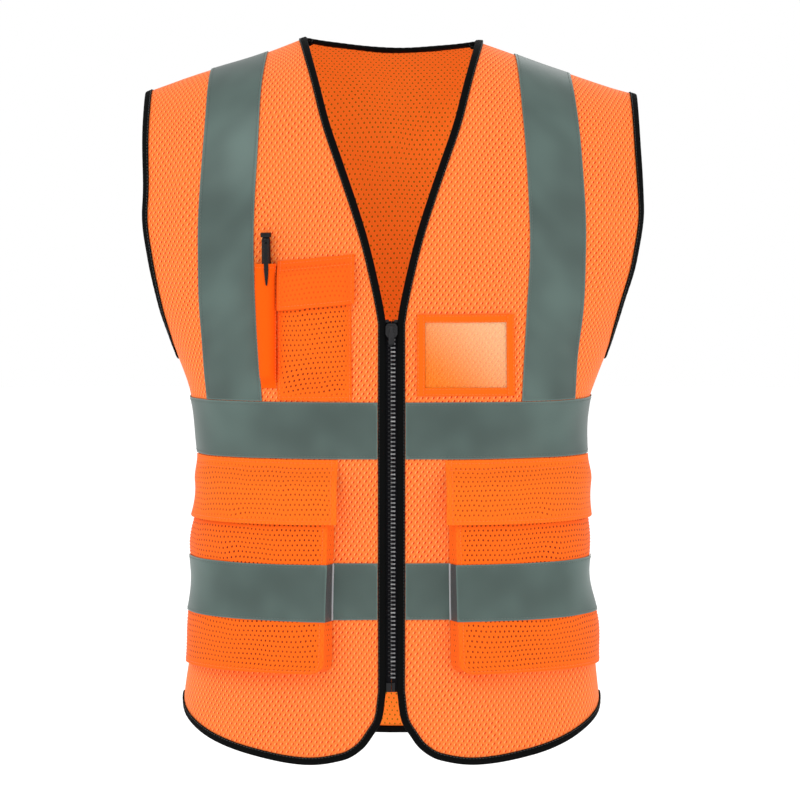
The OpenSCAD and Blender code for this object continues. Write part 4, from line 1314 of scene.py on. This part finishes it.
def sew_gusset(torso, pocket, side):
    """A strip that stands between the panel and the pocket front, folded along its middle."""
    u, v = gusset_path()
    z = pocket.z(v)
    foot = mix(pocket.gusset_foot(v), SIDE_Q, u)
    top_q, _, top = pocket.at(u, v)
    top = top - CLOTH_T / 2 - 0.1 * MM
    t = np.linspace(0, 1, 11)[None, :]
    fold = 1.5 * MM * np.sin(math.pi * t) ** 2
    q = mix(foot[:, None], top_q[:, None], t)
    zz = np.broadcast_to(z[:, None], q.shape) + fold * ease(v[:, None] * 40 - 39)
    lift = mix(POCKET_LOW, top[:, None], t)
    skin_side = torso.place(q, zz, lift, side)
    inner = torso.place(q + 0.0035, zz + CLOTH_T * ease(v[:, None] * 40 - 39), lift, side)
    o = shell(SIDES[side] + "_pocket_gusset_folded", skin_side, inner, [material("pocket_mesh")])
    fasten(o, HALF_OF[side], "pocket_mesh", SIDES[side] + "_pocket_gusset")
    declare(o, skin_side, "stretched", SIDES[side] + "_front_panel")


def lay_pocket_tape(torso, pocket, side):
    start, end = pocket.tape_top, pocket.tape_top + pocket.tape_share
    u, t = net(14, 80)
    extra = CLOTH_T / 2 + AIR + torso.t.tape_t / 2
    q, z, lift = pocket.at(mix(-0.004, 0.99, u), mix(start, end, t), extra)
    name = SIDES[side] + "_pocket_tape"
    cloth_piece(torso, name, q, z, lift, torso.t.tape_t, side, [material("reflective_tape")],
                "reflective_tape", rests=(SIDES[side] + "_pocket_front",))


def edge_gusset(torso, pocket, side):
    """The end of the pocket's tape, turned over the gusset, with painted light on its fold."""
    start, step = pocket.tape_top, pocket.tape_share
    v, t = net(10, 60)
    v, t = v.T, t.T
    v = mix(start, start + step, v)
    z = pocket.z(v)
    first = pocket.gusset_foot(v)
    top_q, _, top = pocket.at(0 * v, v)
    turn = 0.35 * MM + 0.25 * MM * np.sin(math.pi * t)
    q = mix(first, top_q, t) - (turn + 0.35 * MM) / torso.half_width(z) * 0.62
    lift = mix(POCKET_LOW + 0.2 * MM, top + 0.5 * MM, t)
    outer, inner = torso.place(q, z, lift, side), torso.place(q + 0.0012, z, lift, side)
    name = SIDES[side] + "_gusset_tape"
    o = shell(name, outer, inner, [material("bright_fold")])
    fasten(o, HALF_OF[side], "reflective_tape")
    declare(o, outer, "stretched", SIDES[side] + "_pocket_front")


def sew_flap(torso, pocket, side):
    u, v = net(40, 90)
    q, z, lift = pocket.flap_at(u, v)
    name = SIDES[side] + "_pocket_flap"
    cloth_piece(torso, name, q, z, lift, FLAP_T, side, [material("flap_cloth")], "plain_cloth", body=name,
                rests=(SIDES[side] + "_pocket_front",))


def pocket_stitching(torso, pocket, side):
    """Thread at the pocket's mouth hem, its edges, the tape on it and its outline on the panel."""
    run = np.linspace(0, 1, 140)
    one = np.ones_like(run)
    above = CLOTH_T / 2 + THREAD_REST
    start, step = pocket.tape_top, pocket.tape_share
    rim = 2.2 * MM / pocket.tall
    on_tape = above + AIR + torso.t.tape_t
    lines = [pocket.at(0.018 * one, mix(0.01, 0.99, run), above),
             pocket.at(0.985 * one, mix(0.01, 0.99, run), above),
             pocket.at(mix(0.02, 0.98, run), (1 - rim) * one, above),
             pocket.at(run, 0.09 * one, above)]
    grey = [pocket.at(mix(0.01, 0.98, run), (start + rim) * one, on_tape),
            pocket.at(mix(0.01, 0.98, run), (start + step - rim) * one, on_tape)]
    name = SIDES[side]
    for first, last in ((0.06, start - 0.01), (start + step + 0.01, 0.96)):
        z = pocket.z(mix(first, last, run))
        lines.append((torso.q_at(torso.p.pocket_in - 2.2 * MM, z), z, (SEAT - 0.9 * MM) * one))
    orange = stitches(torso, name + "_pocket_stitching", [(*line, side) for line in lines],
                      material("orange_thread"))
    fasten(orange, HALF_OF[side], "pocket_mesh")
    pale = stitches(torso, name + "_pocket_tape_stitching", [(*line, side) for line in grey],
                    material("grey_thread"))
    fasten(pale, HALF_OF[side], "reflective_tape")
    flap = ((0.022 * one, run), (0.978 * one, run), (mix(0.02, 0.98, run), 0.945 * one),
            (mix(0.01, 0.99, run), 0.05 * one), (mix(0.01, 0.99, run), 0.15 * one))
    lines = tracks_over(pocket.flap_at, flap, FLAP_T / 2 + THREAD_REST, side)
    thread = stitches(torso, name + "_flap_stitching", lines, material("orange_thread"))
    fasten(thread, name + "_pocket_flap", "plain_cloth")


# ---------------------------------------------------------------- chest pocket, pen and card holder


SLEEVE_ROOM = 2.4 * MM
SLEEVE_GAP = 0.8 * MM
FLAP_RISE_PER_ACROSS = 0.094


def chest_top(p, x):
    """Height of the chest flap's slanting top edge."""
    return -p.chest_flap_drop - FLAP_RISE_PER_ACROSS * (x - p.chest_in)


def chest_pocket_at(torso, u, v):
    p = torso.p
    floor = -torso.t.chest_band_drop + 1.6 * MM
    x = mix(p.chest_in, p.chest_out, u)
    z = mix(chest_top(p, x) - 15 * MM, floor, v)
    swell = (p.chest_lift * (1 - np.abs(2 * u - 1) ** 4) * mix(0.9, 1, ease(v * 4))
             * (1 - ease((v - 0.72) / 0.28)))
    return torso.q_at(x, z), z, SEAT + swell


def chest_flap_at(torso, u, v):
    p = torso.p
    x = mix(p.chest_in - 2.6 * MM, p.chest_out - 0.3 * MM, u)
    z = chest_top(p, x) - p.chest_flap_h * v
    pu = np.clip((x - p.chest_in) / (p.chest_out - p.chest_in), 0, 1)
    swell = p.chest_lift * (1 - 0.75 * np.abs(2 * pu - 1) ** 4)
    rise = ease(v * p.chest_flap_h / (15 * MM))
    return torso.q_at(x, z), z, SEAT + 0.1 * MM + (swell + FLAP_CLEAR) * rise


def sleeve_at(torso, u, v):
    p = torso.p
    z = chest_top(p, p.chest_out + p.sleeve_w) - p.sleeve_h * v
    near = p.chest_out + SLEEVE_GAP
    far = np.minimum(near + p.sleeve_w - SLEEVE_GAP, brace_centre(torso, z) - torso.t.tape_w / 2 - 0.6 * MM)
    bulge = 2 * p.pen_r + SLEEVE_ROOM
    lift = SEAT + bulge * np.sqrt(np.maximum(0, 1 - (2 * u - 1) ** 2)) * (1 - ease((v - 0.88) / 0.12))
    return torso.q_at(mix(near, far, u), z), z, lift


def sew_chest_pocket(torso):
    u, v = net(60, 50)
    on = ("right_front_panel",)
    cloth_piece(torso, "chest_pocket", *chest_pocket_at(torso, u, v), CLOTH_T, RIGHT,
                [material("pocket_mesh")], "pocket_mesh", rests=on)
    u, v = net(60, 40)
    cloth_piece(torso, "pen_sleeve", *sleeve_at(torso, 0.5 - 0.5 * np.cos(math.pi * u), v), CLOTH_T, RIGHT,
                [material("plain_orange")], "plain_cloth", rests=on)
    u, v = net(40, 60)
    cloth_piece(torso, "chest_flap", *chest_flap_at(torso, u, v), FLAP_T, RIGHT,
                [material("chest_flap_cloth")], "plain_cloth", body="chest_flap", rests=("chest_pocket",))


def chest_stitching(torso):
    """Thread round the chest pocket, the pen sleeve and the flap."""
    run = np.linspace(0, 1, 100)
    one = np.ones_like(run)
    above = CLOTH_T / 2 + THREAD_REST

    def pocket_shape(u, v):
        return chest_pocket_at(torso, u, v)

    def sleeve_shape(u, v):
        return sleeve_at(torso, u, v)

    def flap_shape(u, v):
        return chest_flap_at(torso, u, v)

    pocket = ((0.03 * one, run), (0.97 * one, run), (run, 0.975 * one), (run, 0.1 * one))
    sleeve = ((0.02 * one, run), (0.98 * one, run), (mix(0.05, 0.95, run), 0.03 * one))
    flap = ((0.04 * one, run), (0.96 * one, run), (mix(0.03, 0.97, run), 0.93 * one),
            (mix(0.02, 0.98, run), 0.06 * one), (mix(0.02, 0.98, run), 0.19 * one))
    lines = tracks_over(pocket_shape, pocket, above, RIGHT) + tracks_over(sleeve_shape, sleeve, above, RIGHT)
    thread = stitches(torso, "chest_pocket_stitching", lines, material("orange_thread"))
    fasten(thread, "right_half", "pocket_mesh")
    lines = tracks_over(flap_shape, flap, FLAP_T / 2 + THREAD_REST, RIGHT)
    thread = stitches(torso, "chest_flap_stitching", lines, material("orange_thread"))
    fasten(thread, "chest_flap", "plain_cloth")


PEN_SIDES = 40
PROFILE_R, PROFILE_LEN = 4, 128
COLLAR = ((4.15, 117.9), (4.6, 118.1), (4.75, 118.8), (4.75, 121.2), (4.6, 121.9), (4.15, 122.1))


def pen_frame(torso):
    """The pen's foot and the ways across, forward and along it, on the wearer's right."""
    p = torso.p
    foot_z = chest_top(p, p.chest_out + p.sleeve_w) - p.sleeve_h * 0.86
    top_z = chest_top(p, p.chest_out + p.sleeve_w)
    x = p.chest_out + SLEEVE_GAP + p.pen_r + 2 * MM
    seat = PANEL_HALF + 1.2 * MM + p.pen_r
    ends = []
    for px, pz in ((x, foot_z), (x + 2 * MM, top_z)):
        q = torso.q_at(px, pz)
        ends.append(torso.skin(q, pz) + torso.outward(q, pz) * seat)
    flip = np.array([-1, 1, 1])
    low_end, line = ends[0] * flip, unit(ends[1] - ends[0]) * flip
    forward = np.array([0, -1, 0]) - line * -line[1]
    forward = unit(forward)
    return low_end, np.cross(line, forward), forward, line


def turn_pen(torso):
    """The barrel, turned on a lathe, with a domed cap and a clip ring seat."""
    p = torso.p
    low_end, across, forward, line = pen_frame(torso)
    r, top = p.pen_r, p.pen_len
    profile = [(0.02, 0), (0.5, 0.15), (0.8, 0.6), (1.0, 2), (1.25, 4), (2.4, 11), (3.3, 17.5), (3.75, 22),
               (3.97, 26), (4, 30), (4, 60), (4, 84.6), (3.8, 84.9), (3.8, 85.5), (4, 85.8), (4, 100),
               (4, 117.6), (3.92, 118), (3.92, 122), (4, 122.4), (4, 123), (3.88, 124.4), (3.5, 125.9),
               (2.9, 127), (2.0, 127.7), (1.0, 127.95), (0.02, 128)]
    cos, sin = circle(PEN_SIDES)
    rings = []
    for radius, height in profile:
        rr, hh = radius * r / PROFILE_R, height * top / PROFILE_LEN
        ring = across * cos[:, None] * rr + forward * sin[:, None] * rr
        rings.append(low_end + line * hh + ring)
    o = sweep("pen_barrel_turned", np.array(rings), [material("pen_plastic"), material("pen_body")])
    slot_of = np.zeros(len(o.data.polygons), np.int32)
    lower = [i for i, f in enumerate(o.data.polygons) if (Vector(low_end) - f.center).length < 0.085]
    slot_of[lower] = 1
    o.data.polygons.foreach_set("material_index", slot_of)
    fasten(o, "pen", "pen_plastic", "pen_barrel")


def bend_clip(torso):
    """The clip: a long tapered tongue that springs back to the sleeve, joined to the ring by a bridge."""
    p = torso.p
    low_end, across, forward, line = pen_frame(torso)
    gap = p.pen_r + SLEEVE_ROOM + 1.4 * MM
    top = p.pen_len - 6 * MM
    t = np.linspace(0, 1, 40)
    height = top - p.clip_len * t
    half = mix(2.0, 0.7, np.clip((t - 0.62) / 0.38, 0, 1) ** 1.4) * MM
    half = half * np.sqrt(np.clip((1.02 - t) / 0.05, 0, 1))
    out = gap + mix(0.0, 0.9, np.sin(math.pi * np.clip(t * 1.2, 0, 1))) * MM * 0.6
    section = np.array([(-1, 0), (-0.96, 0.55), (-0.7, 0.9), (0, 1.05), (0.7, 0.9), (0.96, 0.55), (1, 0),
                        (0.6, -0.02), (0, -0.03), (-0.6, -0.02)])
    rings = (low_end + line * height[:, None, None] + across * (section[None, :, :1] * half[:, None, None])
             + forward * (out[:, None, None] + section[None, :, 1:] * 0.9 * MM))
    tongue = sweep("pen_tongue", rings, [material("pen_plastic")])
    cos, sin = circle(PEN_SIDES)
    ring = across * cos[:, None] + forward * sin[:, None]
    rings = [low_end + line * height * MM + ring * radius * MM for radius, height in COLLAR]
    collar = sweep("pen_collar", np.array(rings), [material("pen_plastic")])
    reach = np.linspace(4.3 * MM, gap + 0.7 * MM, 8)
    corner = np.array([(-1, -0.75), (-0.75, -1), (0.75, -1), (1, -0.75),
                       (1, 0.75), (0.75, 1), (-0.75, 1), (-1, 0.75)])
    bridge = (low_end + forward * reach[:, None, None] + across * corner[None, :, :1] * 1.7 * MM
              + line * (p.pen_len - 8 * MM + corner[None, :, 1:] * 1.95 * MM))
    post = sweep("pen_bridge", bridge, [material("pen_plastic")])
    o = joined("pen_clip_sprung", [tongue, collar, post])
    fasten(o, "pen", "pen_plastic", "pen_clip")


WINDOW_T, RIBBON_T = 0.3 * MM, 0.34 * MM


def ribbon_grid(torso, x0, x1, z0, z1, rows, columns):
    u, t = net(rows, columns)
    z = mix(z0, z1, t)
    return torso.q_at(mix(x0, x1, u), z), z


def sew_card_holder(torso):
    """A clear window under a frame of four ribbons that overlap at the corners."""
    p = torso.p
    w, x0, x1 = p.ribbon_w, p.card_in, p.card_in + p.card_w
    z0, z1 = -p.card_drop, -p.card_drop - p.card_h
    window_lift = PANEL_HALF + AIR + 0.2 * MM
    low_lift = window_lift + 0.2 * MM + AIR / 2 + 0.17 * MM
    q, z = ribbon_grid(torso, x0 + w / 2, x1 - w / 2, z0 - w / 2, z1 + w / 2, 40, 50)
    cloth_piece(torso, "card_window", q, z, window_lift, WINDOW_T, LEFT, [material("window_film")],
                "clear_film", rests=("left_front_panel",))
    strips = []
    thick, across, along = RIBBON_T, 8, 60
    high_lift = low_lift + thick * 0.9
    for name, a, b, c, d, lift, r, k in (("top", x0, x1, z0, z0 - w, low_lift, across, along),
                                         ("foot", x0, x1, z1 + w, z1, low_lift, across, along),
                                         ("near", x0, x0 + w, z0, z1, high_lift, along, across),
                                         ("far", x1 - w, x1, z0, z1, high_lift, along, across)):
        q, z = ribbon_grid(torso, a, b, c, d, r, k)
        lines = cloth_lines(torso.place(q, z, lift, LEFT))[0]
        lines = lines if r == across else lines[..., ::-1]
        strips.append(lay(torso, "ribbon_" + name, q, z, lift, thick, LEFT, [material("card_ribbon")], lines))
    o = joined("card_frame_ribbons", strips)
    fasten(o, "left_half", "card_ribbon", "card_frame")
    run, lines = np.linspace(0, 1, 90), []
    top = low_lift + thick * 1.45
    for inset in (1.1 * MM, w - 1.1 * MM):
        for z in (z0 - inset, z1 + inset):
            lines.append((torso.q_at(mix(x0 + 1 * MM, x1 - 1 * MM, run), z), np.full_like(run, z),
                          low_lift + thick * 0.55, LEFT))
        for x in (x0 + inset, x1 - inset):
            z = mix(z0 - 1 * MM, z1 + 1 * MM, run)
            lines.append((torso.q_at(x, z), z, top, LEFT))
    thread = stitches(torso, "card_holder_stitching", lines, material("orange_thread"))
    fasten(thread, "left_half", "card_ribbon")


# ---------------------------------------------------------------- zip


TEETH_START, TEETH_END = 6 * MM, 11 * MM
ZIP_BEHIND, ZIP_TAPE_HALF = 1.7 * MM, 0.5 * MM
RIBBON_FROM, RIBBON_TO = 0.02, 15.4


def zip_middle(torso):
    """Depth of the zip tapes' middle."""
    return -(torso.s.front_depth + SEAM) + ZIP_BEHIND + ZIP_TAPE_HALF


def zip_teeth(torso, side):
    """Moulded teeth: each a rounded block with a bead at its free end."""
    t = torso.t
    pitch, wide, deep, tall, lap = t.tooth_pitch, 4.4 * MM, 2.6 * MM, t.tooth_pitch * 0.47, 0.9 * MM
    span = t.zip_bottom_drop - t.zip_top_drop
    count = int((span - TEETH_START - TEETH_END) / pitch)
    first = 0 if side == RIGHT else pitch / 2
    corner = np.array([(-1, -0.6), (-0.75, -1), (0.75, -1), (1, -0.6),
                       (1, 0.6), (0.75, 1), (-0.75, 1), (-1, 0.6)])
    ribs = ((0.0, 0.55, 0.5), (0.06, 0.85, 0.8), (0.14, 1, 0.95), (0.26, 0.98, 0.92), (0.36, 0.9, 0.72),
            (0.6, 0.9, 0.72), (0.8, 1, 0.95), (0.95, 0.95, 0.92), (1, 0.7, 0.7))
    tooth = []
    for run, y_part, z_part in ribs:
        x = np.full(len(corner), -lap + wide * run)
        tooth.append(np.stack([x, corner[:, 0] * deep / 2 * y_part, corner[:, 1] * tall / 2 * z_part], -1))
    tooth = np.array(tooth)
    zs = -t.zip_top_drop - TEETH_START - first - (np.arange(count) + 1) * pitch + pitch * 0.21
    base = tooth.reshape(-1, 3)
    points = base[None] + np.stack([np.zeros(count), np.full(count, zip_middle(torso)), zs], -1)[:, None]
    points = points.reshape(-1, 3) * np.array([side, 1, 1])
    faces = many_tubes(count, len(ribs), len(corner))
    name = SIDES[side] + "_zip_teeth"
    # Painted highlight: the wearer's left row gets a lighter copy of the black plastic.
    finish = material("bright_teeth" if side == LEFT else "zip_plastic")
    o = make_mesh(name + "_moulded", points, faces, [finish])
    fasten(o, HALF_OF[side], "zip_plastic", name)


def zip_ribbons(torso, side):
    """The woven tape that holds the teeth, with the corded edge they grip."""
    t = torso.t
    y0 = zip_middle(torso)
    u, v = net(150, 16)
    x = mix(RIBBON_FROM, RIBBON_TO, u) * MM
    z = mix(-t.zip_top_drop + 2 * MM, -t.zip_bottom_drop, v)
    cord = 0.3 * MM * np.exp(-((x - 3.2 * MM) / (0.7 * MM)) ** 2)
    ripple = 0.04 * MM * np.sin(v * 900)
    outer = np.stack([x * side, y0 - 0.3 * MM - cord + ripple, z], -1)
    inner = np.stack([x * side, y0 + 0.3 * MM + cord * 0.5 + ripple, z], -1)
    name = SIDES[side] + "_zip_tape"
    o = shell(name + "_woven", outer, inner, [material("zip_ribbon")])
    fasten(o, HALF_OF[side], "zip_ribbon", name)
    declare(o, outer, "stretched", SIDES[side] + "_front_panel")


def patch_grids(torso, pocket):
    """Places of the fastening patches under the flaps: name, body side, q, z and pocket lift."""
    u, t = net(8, 14)
    p = torso.p
    x = (p.chest_in + p.chest_out) / 2 + (u - 0.5) * 24 * MM
    z = chest_top(p, x) - 20 * MM - 14 * MM * t
    yield "chest", RIGHT, torso.q_at(x, z), z, SEAT + p.chest_lift + 0 * u
    z = -p.mouth_drop - 5 * MM - 14 * MM * t
    v = (-z - p.mouth_drop) / pocket.tall
    share_u = mix(0.36, 0.56, u)
    q = mix(torso.q_at(pocket.near(v), z), SIDE_Q, share_u)
    for side in (LEFT, RIGHT):
        yield SIDES[side], side, q, z, pocket.lift(share_u, v)


def press_patches(torso, pocket):
    """Hook tape on the flaps' undersides over loop tape on the pockets."""
    loop = CLOTH_T / 2 + 0.35 * MM + PATCH_T / 2
    for name, side, q, z, lift in patch_grids(torso, pocket):
        flap = "chest_flap" if name == "chest" else name + "_pocket_flap"
        for kind, extra, body in (("loop", loop, HALF_OF[side]), ("hook", loop + PATCH_T + 0.35 * MM, flap)):
            node = "%s_%s_patch" % (name, kind)
            o = lay(torso, node + "_sewn", q, z, lift + extra, PATCH_T, side, [material(kind + "_pile")])
            fasten(o, body, kind + "_tape", node)


HARDWARE_ROUND = 0.28 * MM
CARRIED = {"zip_slider": "slider_enamel", "pull_tab": "slider_enamel", "retainer_box": "zip_plastic",
           "insertion_pin": "zip_plastic", "left_top_stop": "zip_plastic", "right_top_stop": "zip_plastic"}


def finish_hardware():
    """Gives the small moulded parts their finish and softens their edges."""
    for node, finish in CARRIED.items():
        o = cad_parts[node]
        o.data.materials.clear()
        o.data.materials.append(material(finish))
        rounded(o, HARDWARE_ROUND)


# ---------------------------------------------------------------- stage


FLOOR_GAP = 200 * MM


def set_stage():
    """A wide pale floor below the hem."""
    level, reach, around = CAD_BOX[0][2] - FLOOR_GAP, 9.0, 96
    cos, sin = circle(around)
    radii = (0.4, 2, reach)
    points = np.concatenate([np.stack([r * cos, r * sin, np.full(around, level)], -1) for r in radii])
    bands = tube_faces(len(radii), around)
    disc = np.arange(around)[None]
    mesh = bpy.data.meshes.new("studio_floor")
    mesh.from_pydata(points.tolist(), [], bands[:, ::-1].tolist() + disc.tolist())
    mesh.materials.append(material("studio_stage"))
    o = bpy.data.objects.new("studio_floor", mesh)
    bpy.context.scene.collection.objects.link(o)


def lamp(name, place, aim, size, power):
    """A round area lamp that faces a point."""
    data = bpy.data.lights.new(name, "AREA")
    data.shape, data.size, data.energy = "DISK", size, power
    o = bpy.data.objects.new(name, data)
    bpy.context.scene.collection.objects.link(o)
    o.location = place
    o.rotation_euler = (Vector(aim) - Vector(place)).to_track_quat("-Z", "Y").to_euler()


def light_stage():
    """Soft white surroundings with one broad key light above and two fills."""
    world = bpy.data.worlds.new("studio")
    world.use_nodes = True
    sky = world.node_tree.nodes["Background"]
    sky.inputs["Color"].default_value = (1, 1, 1, 1)
    sky.inputs["Strength"].default_value = 1.0
    bpy.context.scene.world = world
    middle = (0, 0, -0.33)
    lamp("key", (-1.5, -2.3, 1.5), middle, 1.6, 15)
    lamp("fill", (1.9, -1.8, 0.4), middle, 1.8, 4)
    lamp("rear", (0.6, 2.0, 1.5), middle, 1.6, 8)
    bpy.context.scene.view_settings.view_transform = "Standard"


def set_camera():
    """A long lens in front of the zip, tilted slightly down."""
    data = bpy.data.cameras.new("camera")
    data.sensor_width, data.lens = 36, 154
    data.clip_start, data.clip_end = 0.05, 30
    o = bpy.data.objects.new("camera", data)
    bpy.context.scene.collection.objects.link(o)
    o.location = (0, -3.11, -0.129)
    o.rotation_euler = (math.radians(90 - 3.63), 0, 0)
    data.shift_x = 0.0106
    bpy.context.scene.camera = o


# ---------------------------------------------------------------- operators and panel


class Step:
    """One step of the build, on a fresh body."""

    def execute(self, context):
        self.work(Torso(context.scene.vest))
        return {"FINISHED"}


class VEST_OT_stage(Step, Operator):
    """Set the camera, the lights and the pale floor"""

    bl_idname = "vest.stage"
    bl_label = "Stage"

    def work(self, torso):
        set_camera()
        light_stage()
        set_stage()


class VEST_OT_panels(Step, Operator):
    """Cut the two front panels and the back panel from the mesh"""

    bl_idname = "vest.panels"
    bl_label = "Panels"

    def work(self, torso):
        for side in SIDES:
            sew_front_panel(torso, side)
        sew_back_panel(torso)


class VEST_OT_bindings(Step, Operator):
    """Bind the edges of the panels"""

    bl_idname = "vest.bindings"
    bl_label = "Edge bindings"

    def work(self, torso):
        for side in SIDES:
            bind_edges(torso, side)
        bind_back(torso)


class VEST_OT_tapes(Step, Operator):
    """Sew on the reflective bands and braces"""

    bl_idname = "vest.tapes"
    bl_label = "Reflective tape"

    def work(self, torso):
        lay_bands(torso)
        lay_braces(torso)
        tape_stitching(torso)


class VEST_OT_pockets(Step, Operator):
    """Sew the two lower pockets with their gussets, tapes and flaps"""

    bl_idname = "vest.pockets"
    bl_label = "Lower pockets"

    def work(self, torso):
        pocket = LowerPocket(torso)
        for side in SIDES:
            sew_pocket_front(torso, pocket, side)
            sew_gusset(torso, pocket, side)
            lay_pocket_tape(torso, pocket, side)
            sew_flap(torso, pocket, side)
            pocket_stitching(torso, pocket, side)
            edge_gusset(torso, pocket, side)
        press_patches(torso, pocket)


class VEST_OT_chest(Step, Operator):
    """Sew the chest pocket, its flap and the pen sleeve"""

    bl_idname = "vest.chest"
    bl_label = "Chest pocket"

    def work(self, torso):
        sew_chest_pocket(torso)
        chest_stitching(torso)


class VEST_OT_pen(Step, Operator):
    """Turn the pen and bend its clip"""

    bl_idname = "vest.pen"
    bl_label = "Pen"

    def work(self, torso):
        turn_pen(torso)
        bend_clip(torso)


class VEST_OT_card_holder(Step, Operator):
    """Sew on the card holder"""

    bl_idname = "vest.card_holder"
    bl_label = "Card holder"

    def work(self, torso):
        sew_card_holder(torso)


class VEST_OT_zip(Step, Operator):
    """Fit the zip and finish the small hardware"""

    bl_idname = "vest.zip"
    bl_label = "Zip"

    def work(self, torso):
        for side in SIDES:
            zip_teeth(torso, side)
            zip_ribbons(torso, side)
        finish_hardware()


STEPS = (VEST_OT_stage, VEST_OT_panels, VEST_OT_bindings, VEST_OT_tapes, VEST_OT_pockets, VEST_OT_chest,
         VEST_OT_pen, VEST_OT_card_holder, VEST_OT_zip)


class VEST_PT_sidebar(Panel):
    """Lists the vest's steps"""

    bl_idname = "VEST_PT_sidebar"
    bl_label = "High visibility vest"
    bl_space_type = "VIEW_3D"
    bl_region_type = "UI"
    bl_category = "Vest"

    def draw(self, context):
        for step in STEPS:
            self.layout.operator(step.bl_idname)
        for name in ("shape", "trim", "pockets", "looks"):
            box = self.layout.box()
            group = getattr(context.scene.vest, name)
            for key in group.bl_rna.properties.keys():
                if key not in ("rna_type", "name"):
                    box.prop(group, key)


CLASSES = (VestShape, VestTrim, VestPockets, KnitLook, VestLooks, VestSettings) + STEPS + (VEST_PT_sidebar,)


def register():
    for c in CLASSES:
        bpy.utils.register_class(c)
    bpy.types.Scene.vest = PointerProperty(type=VestSettings)


def unregister():
    del bpy.types.Scene.vest
    for c in reversed(CLASSES):
        bpy.utils.unregister_class(c)


def set_knit(look, ground, light, hole, **rest):
    look.ground, look.light, look.hole = ground, light, hole
    for name, value in rest.items():
        setattr(look, name, value)


def choose_knits():
    """The knits other than the panels' own: the inside, painted brighter with a glow in its shade, the
    pockets and the flaps.
    """
    v = settings()
    dots = {"across": 4.05 * MM, "down": 4.45 * MM, "hole_w": 0.9 * MM, "hole_h": 1.15 * MM, "slant": 0.0}
    # The inside: a brighter ground and a painted glow, painted light in its shade.
    set_knit(v.inside_knit, (1.0, 0.25, 0.022), (1.0, 0.32, 0.04), (0.1, 0.13, 0.0), slant=0.0, glow=0.06,
             across=5.1 * MM, down=4.3 * MM, hole_w=0.85 * MM, hole_h=1.15 * MM)
    set_knit(v.pocket_knit, (1.0, 0.125, 0.003), (1.0, 0.2, 0.014), (0.17, 0.006, 0.0), raised=0.5,
             strength=1.0, **dots)
    set_knit(v.flap_knit, (1.0, 0.145, 0.005), (1.0, 0.22, 0.02), (0.25, 0.01, 0.0), raised=0.5,
             strength=0.85, **dots)
    set_knit(v.chest_flap_knit, (1.0, 0.115, 0.003), (1.0, 0.16, 0.01), (0.6, 0.035, 0.0), raised=0.4,
             strength=0.6, **dots)


def main():
    register()
    choose_knits()
    bpy.ops.vest.stage()
    bpy.ops.vest.panels()
    bpy.ops.vest.bindings()
    bpy.ops.vest.tapes()
    bpy.ops.vest.pockets()
    bpy.ops.vest.chest()
    bpy.ops.vest.pen()
    bpy.ops.vest.card_holder()
    bpy.ops.vest.zip()


if __name__ == "__main__":
    main()
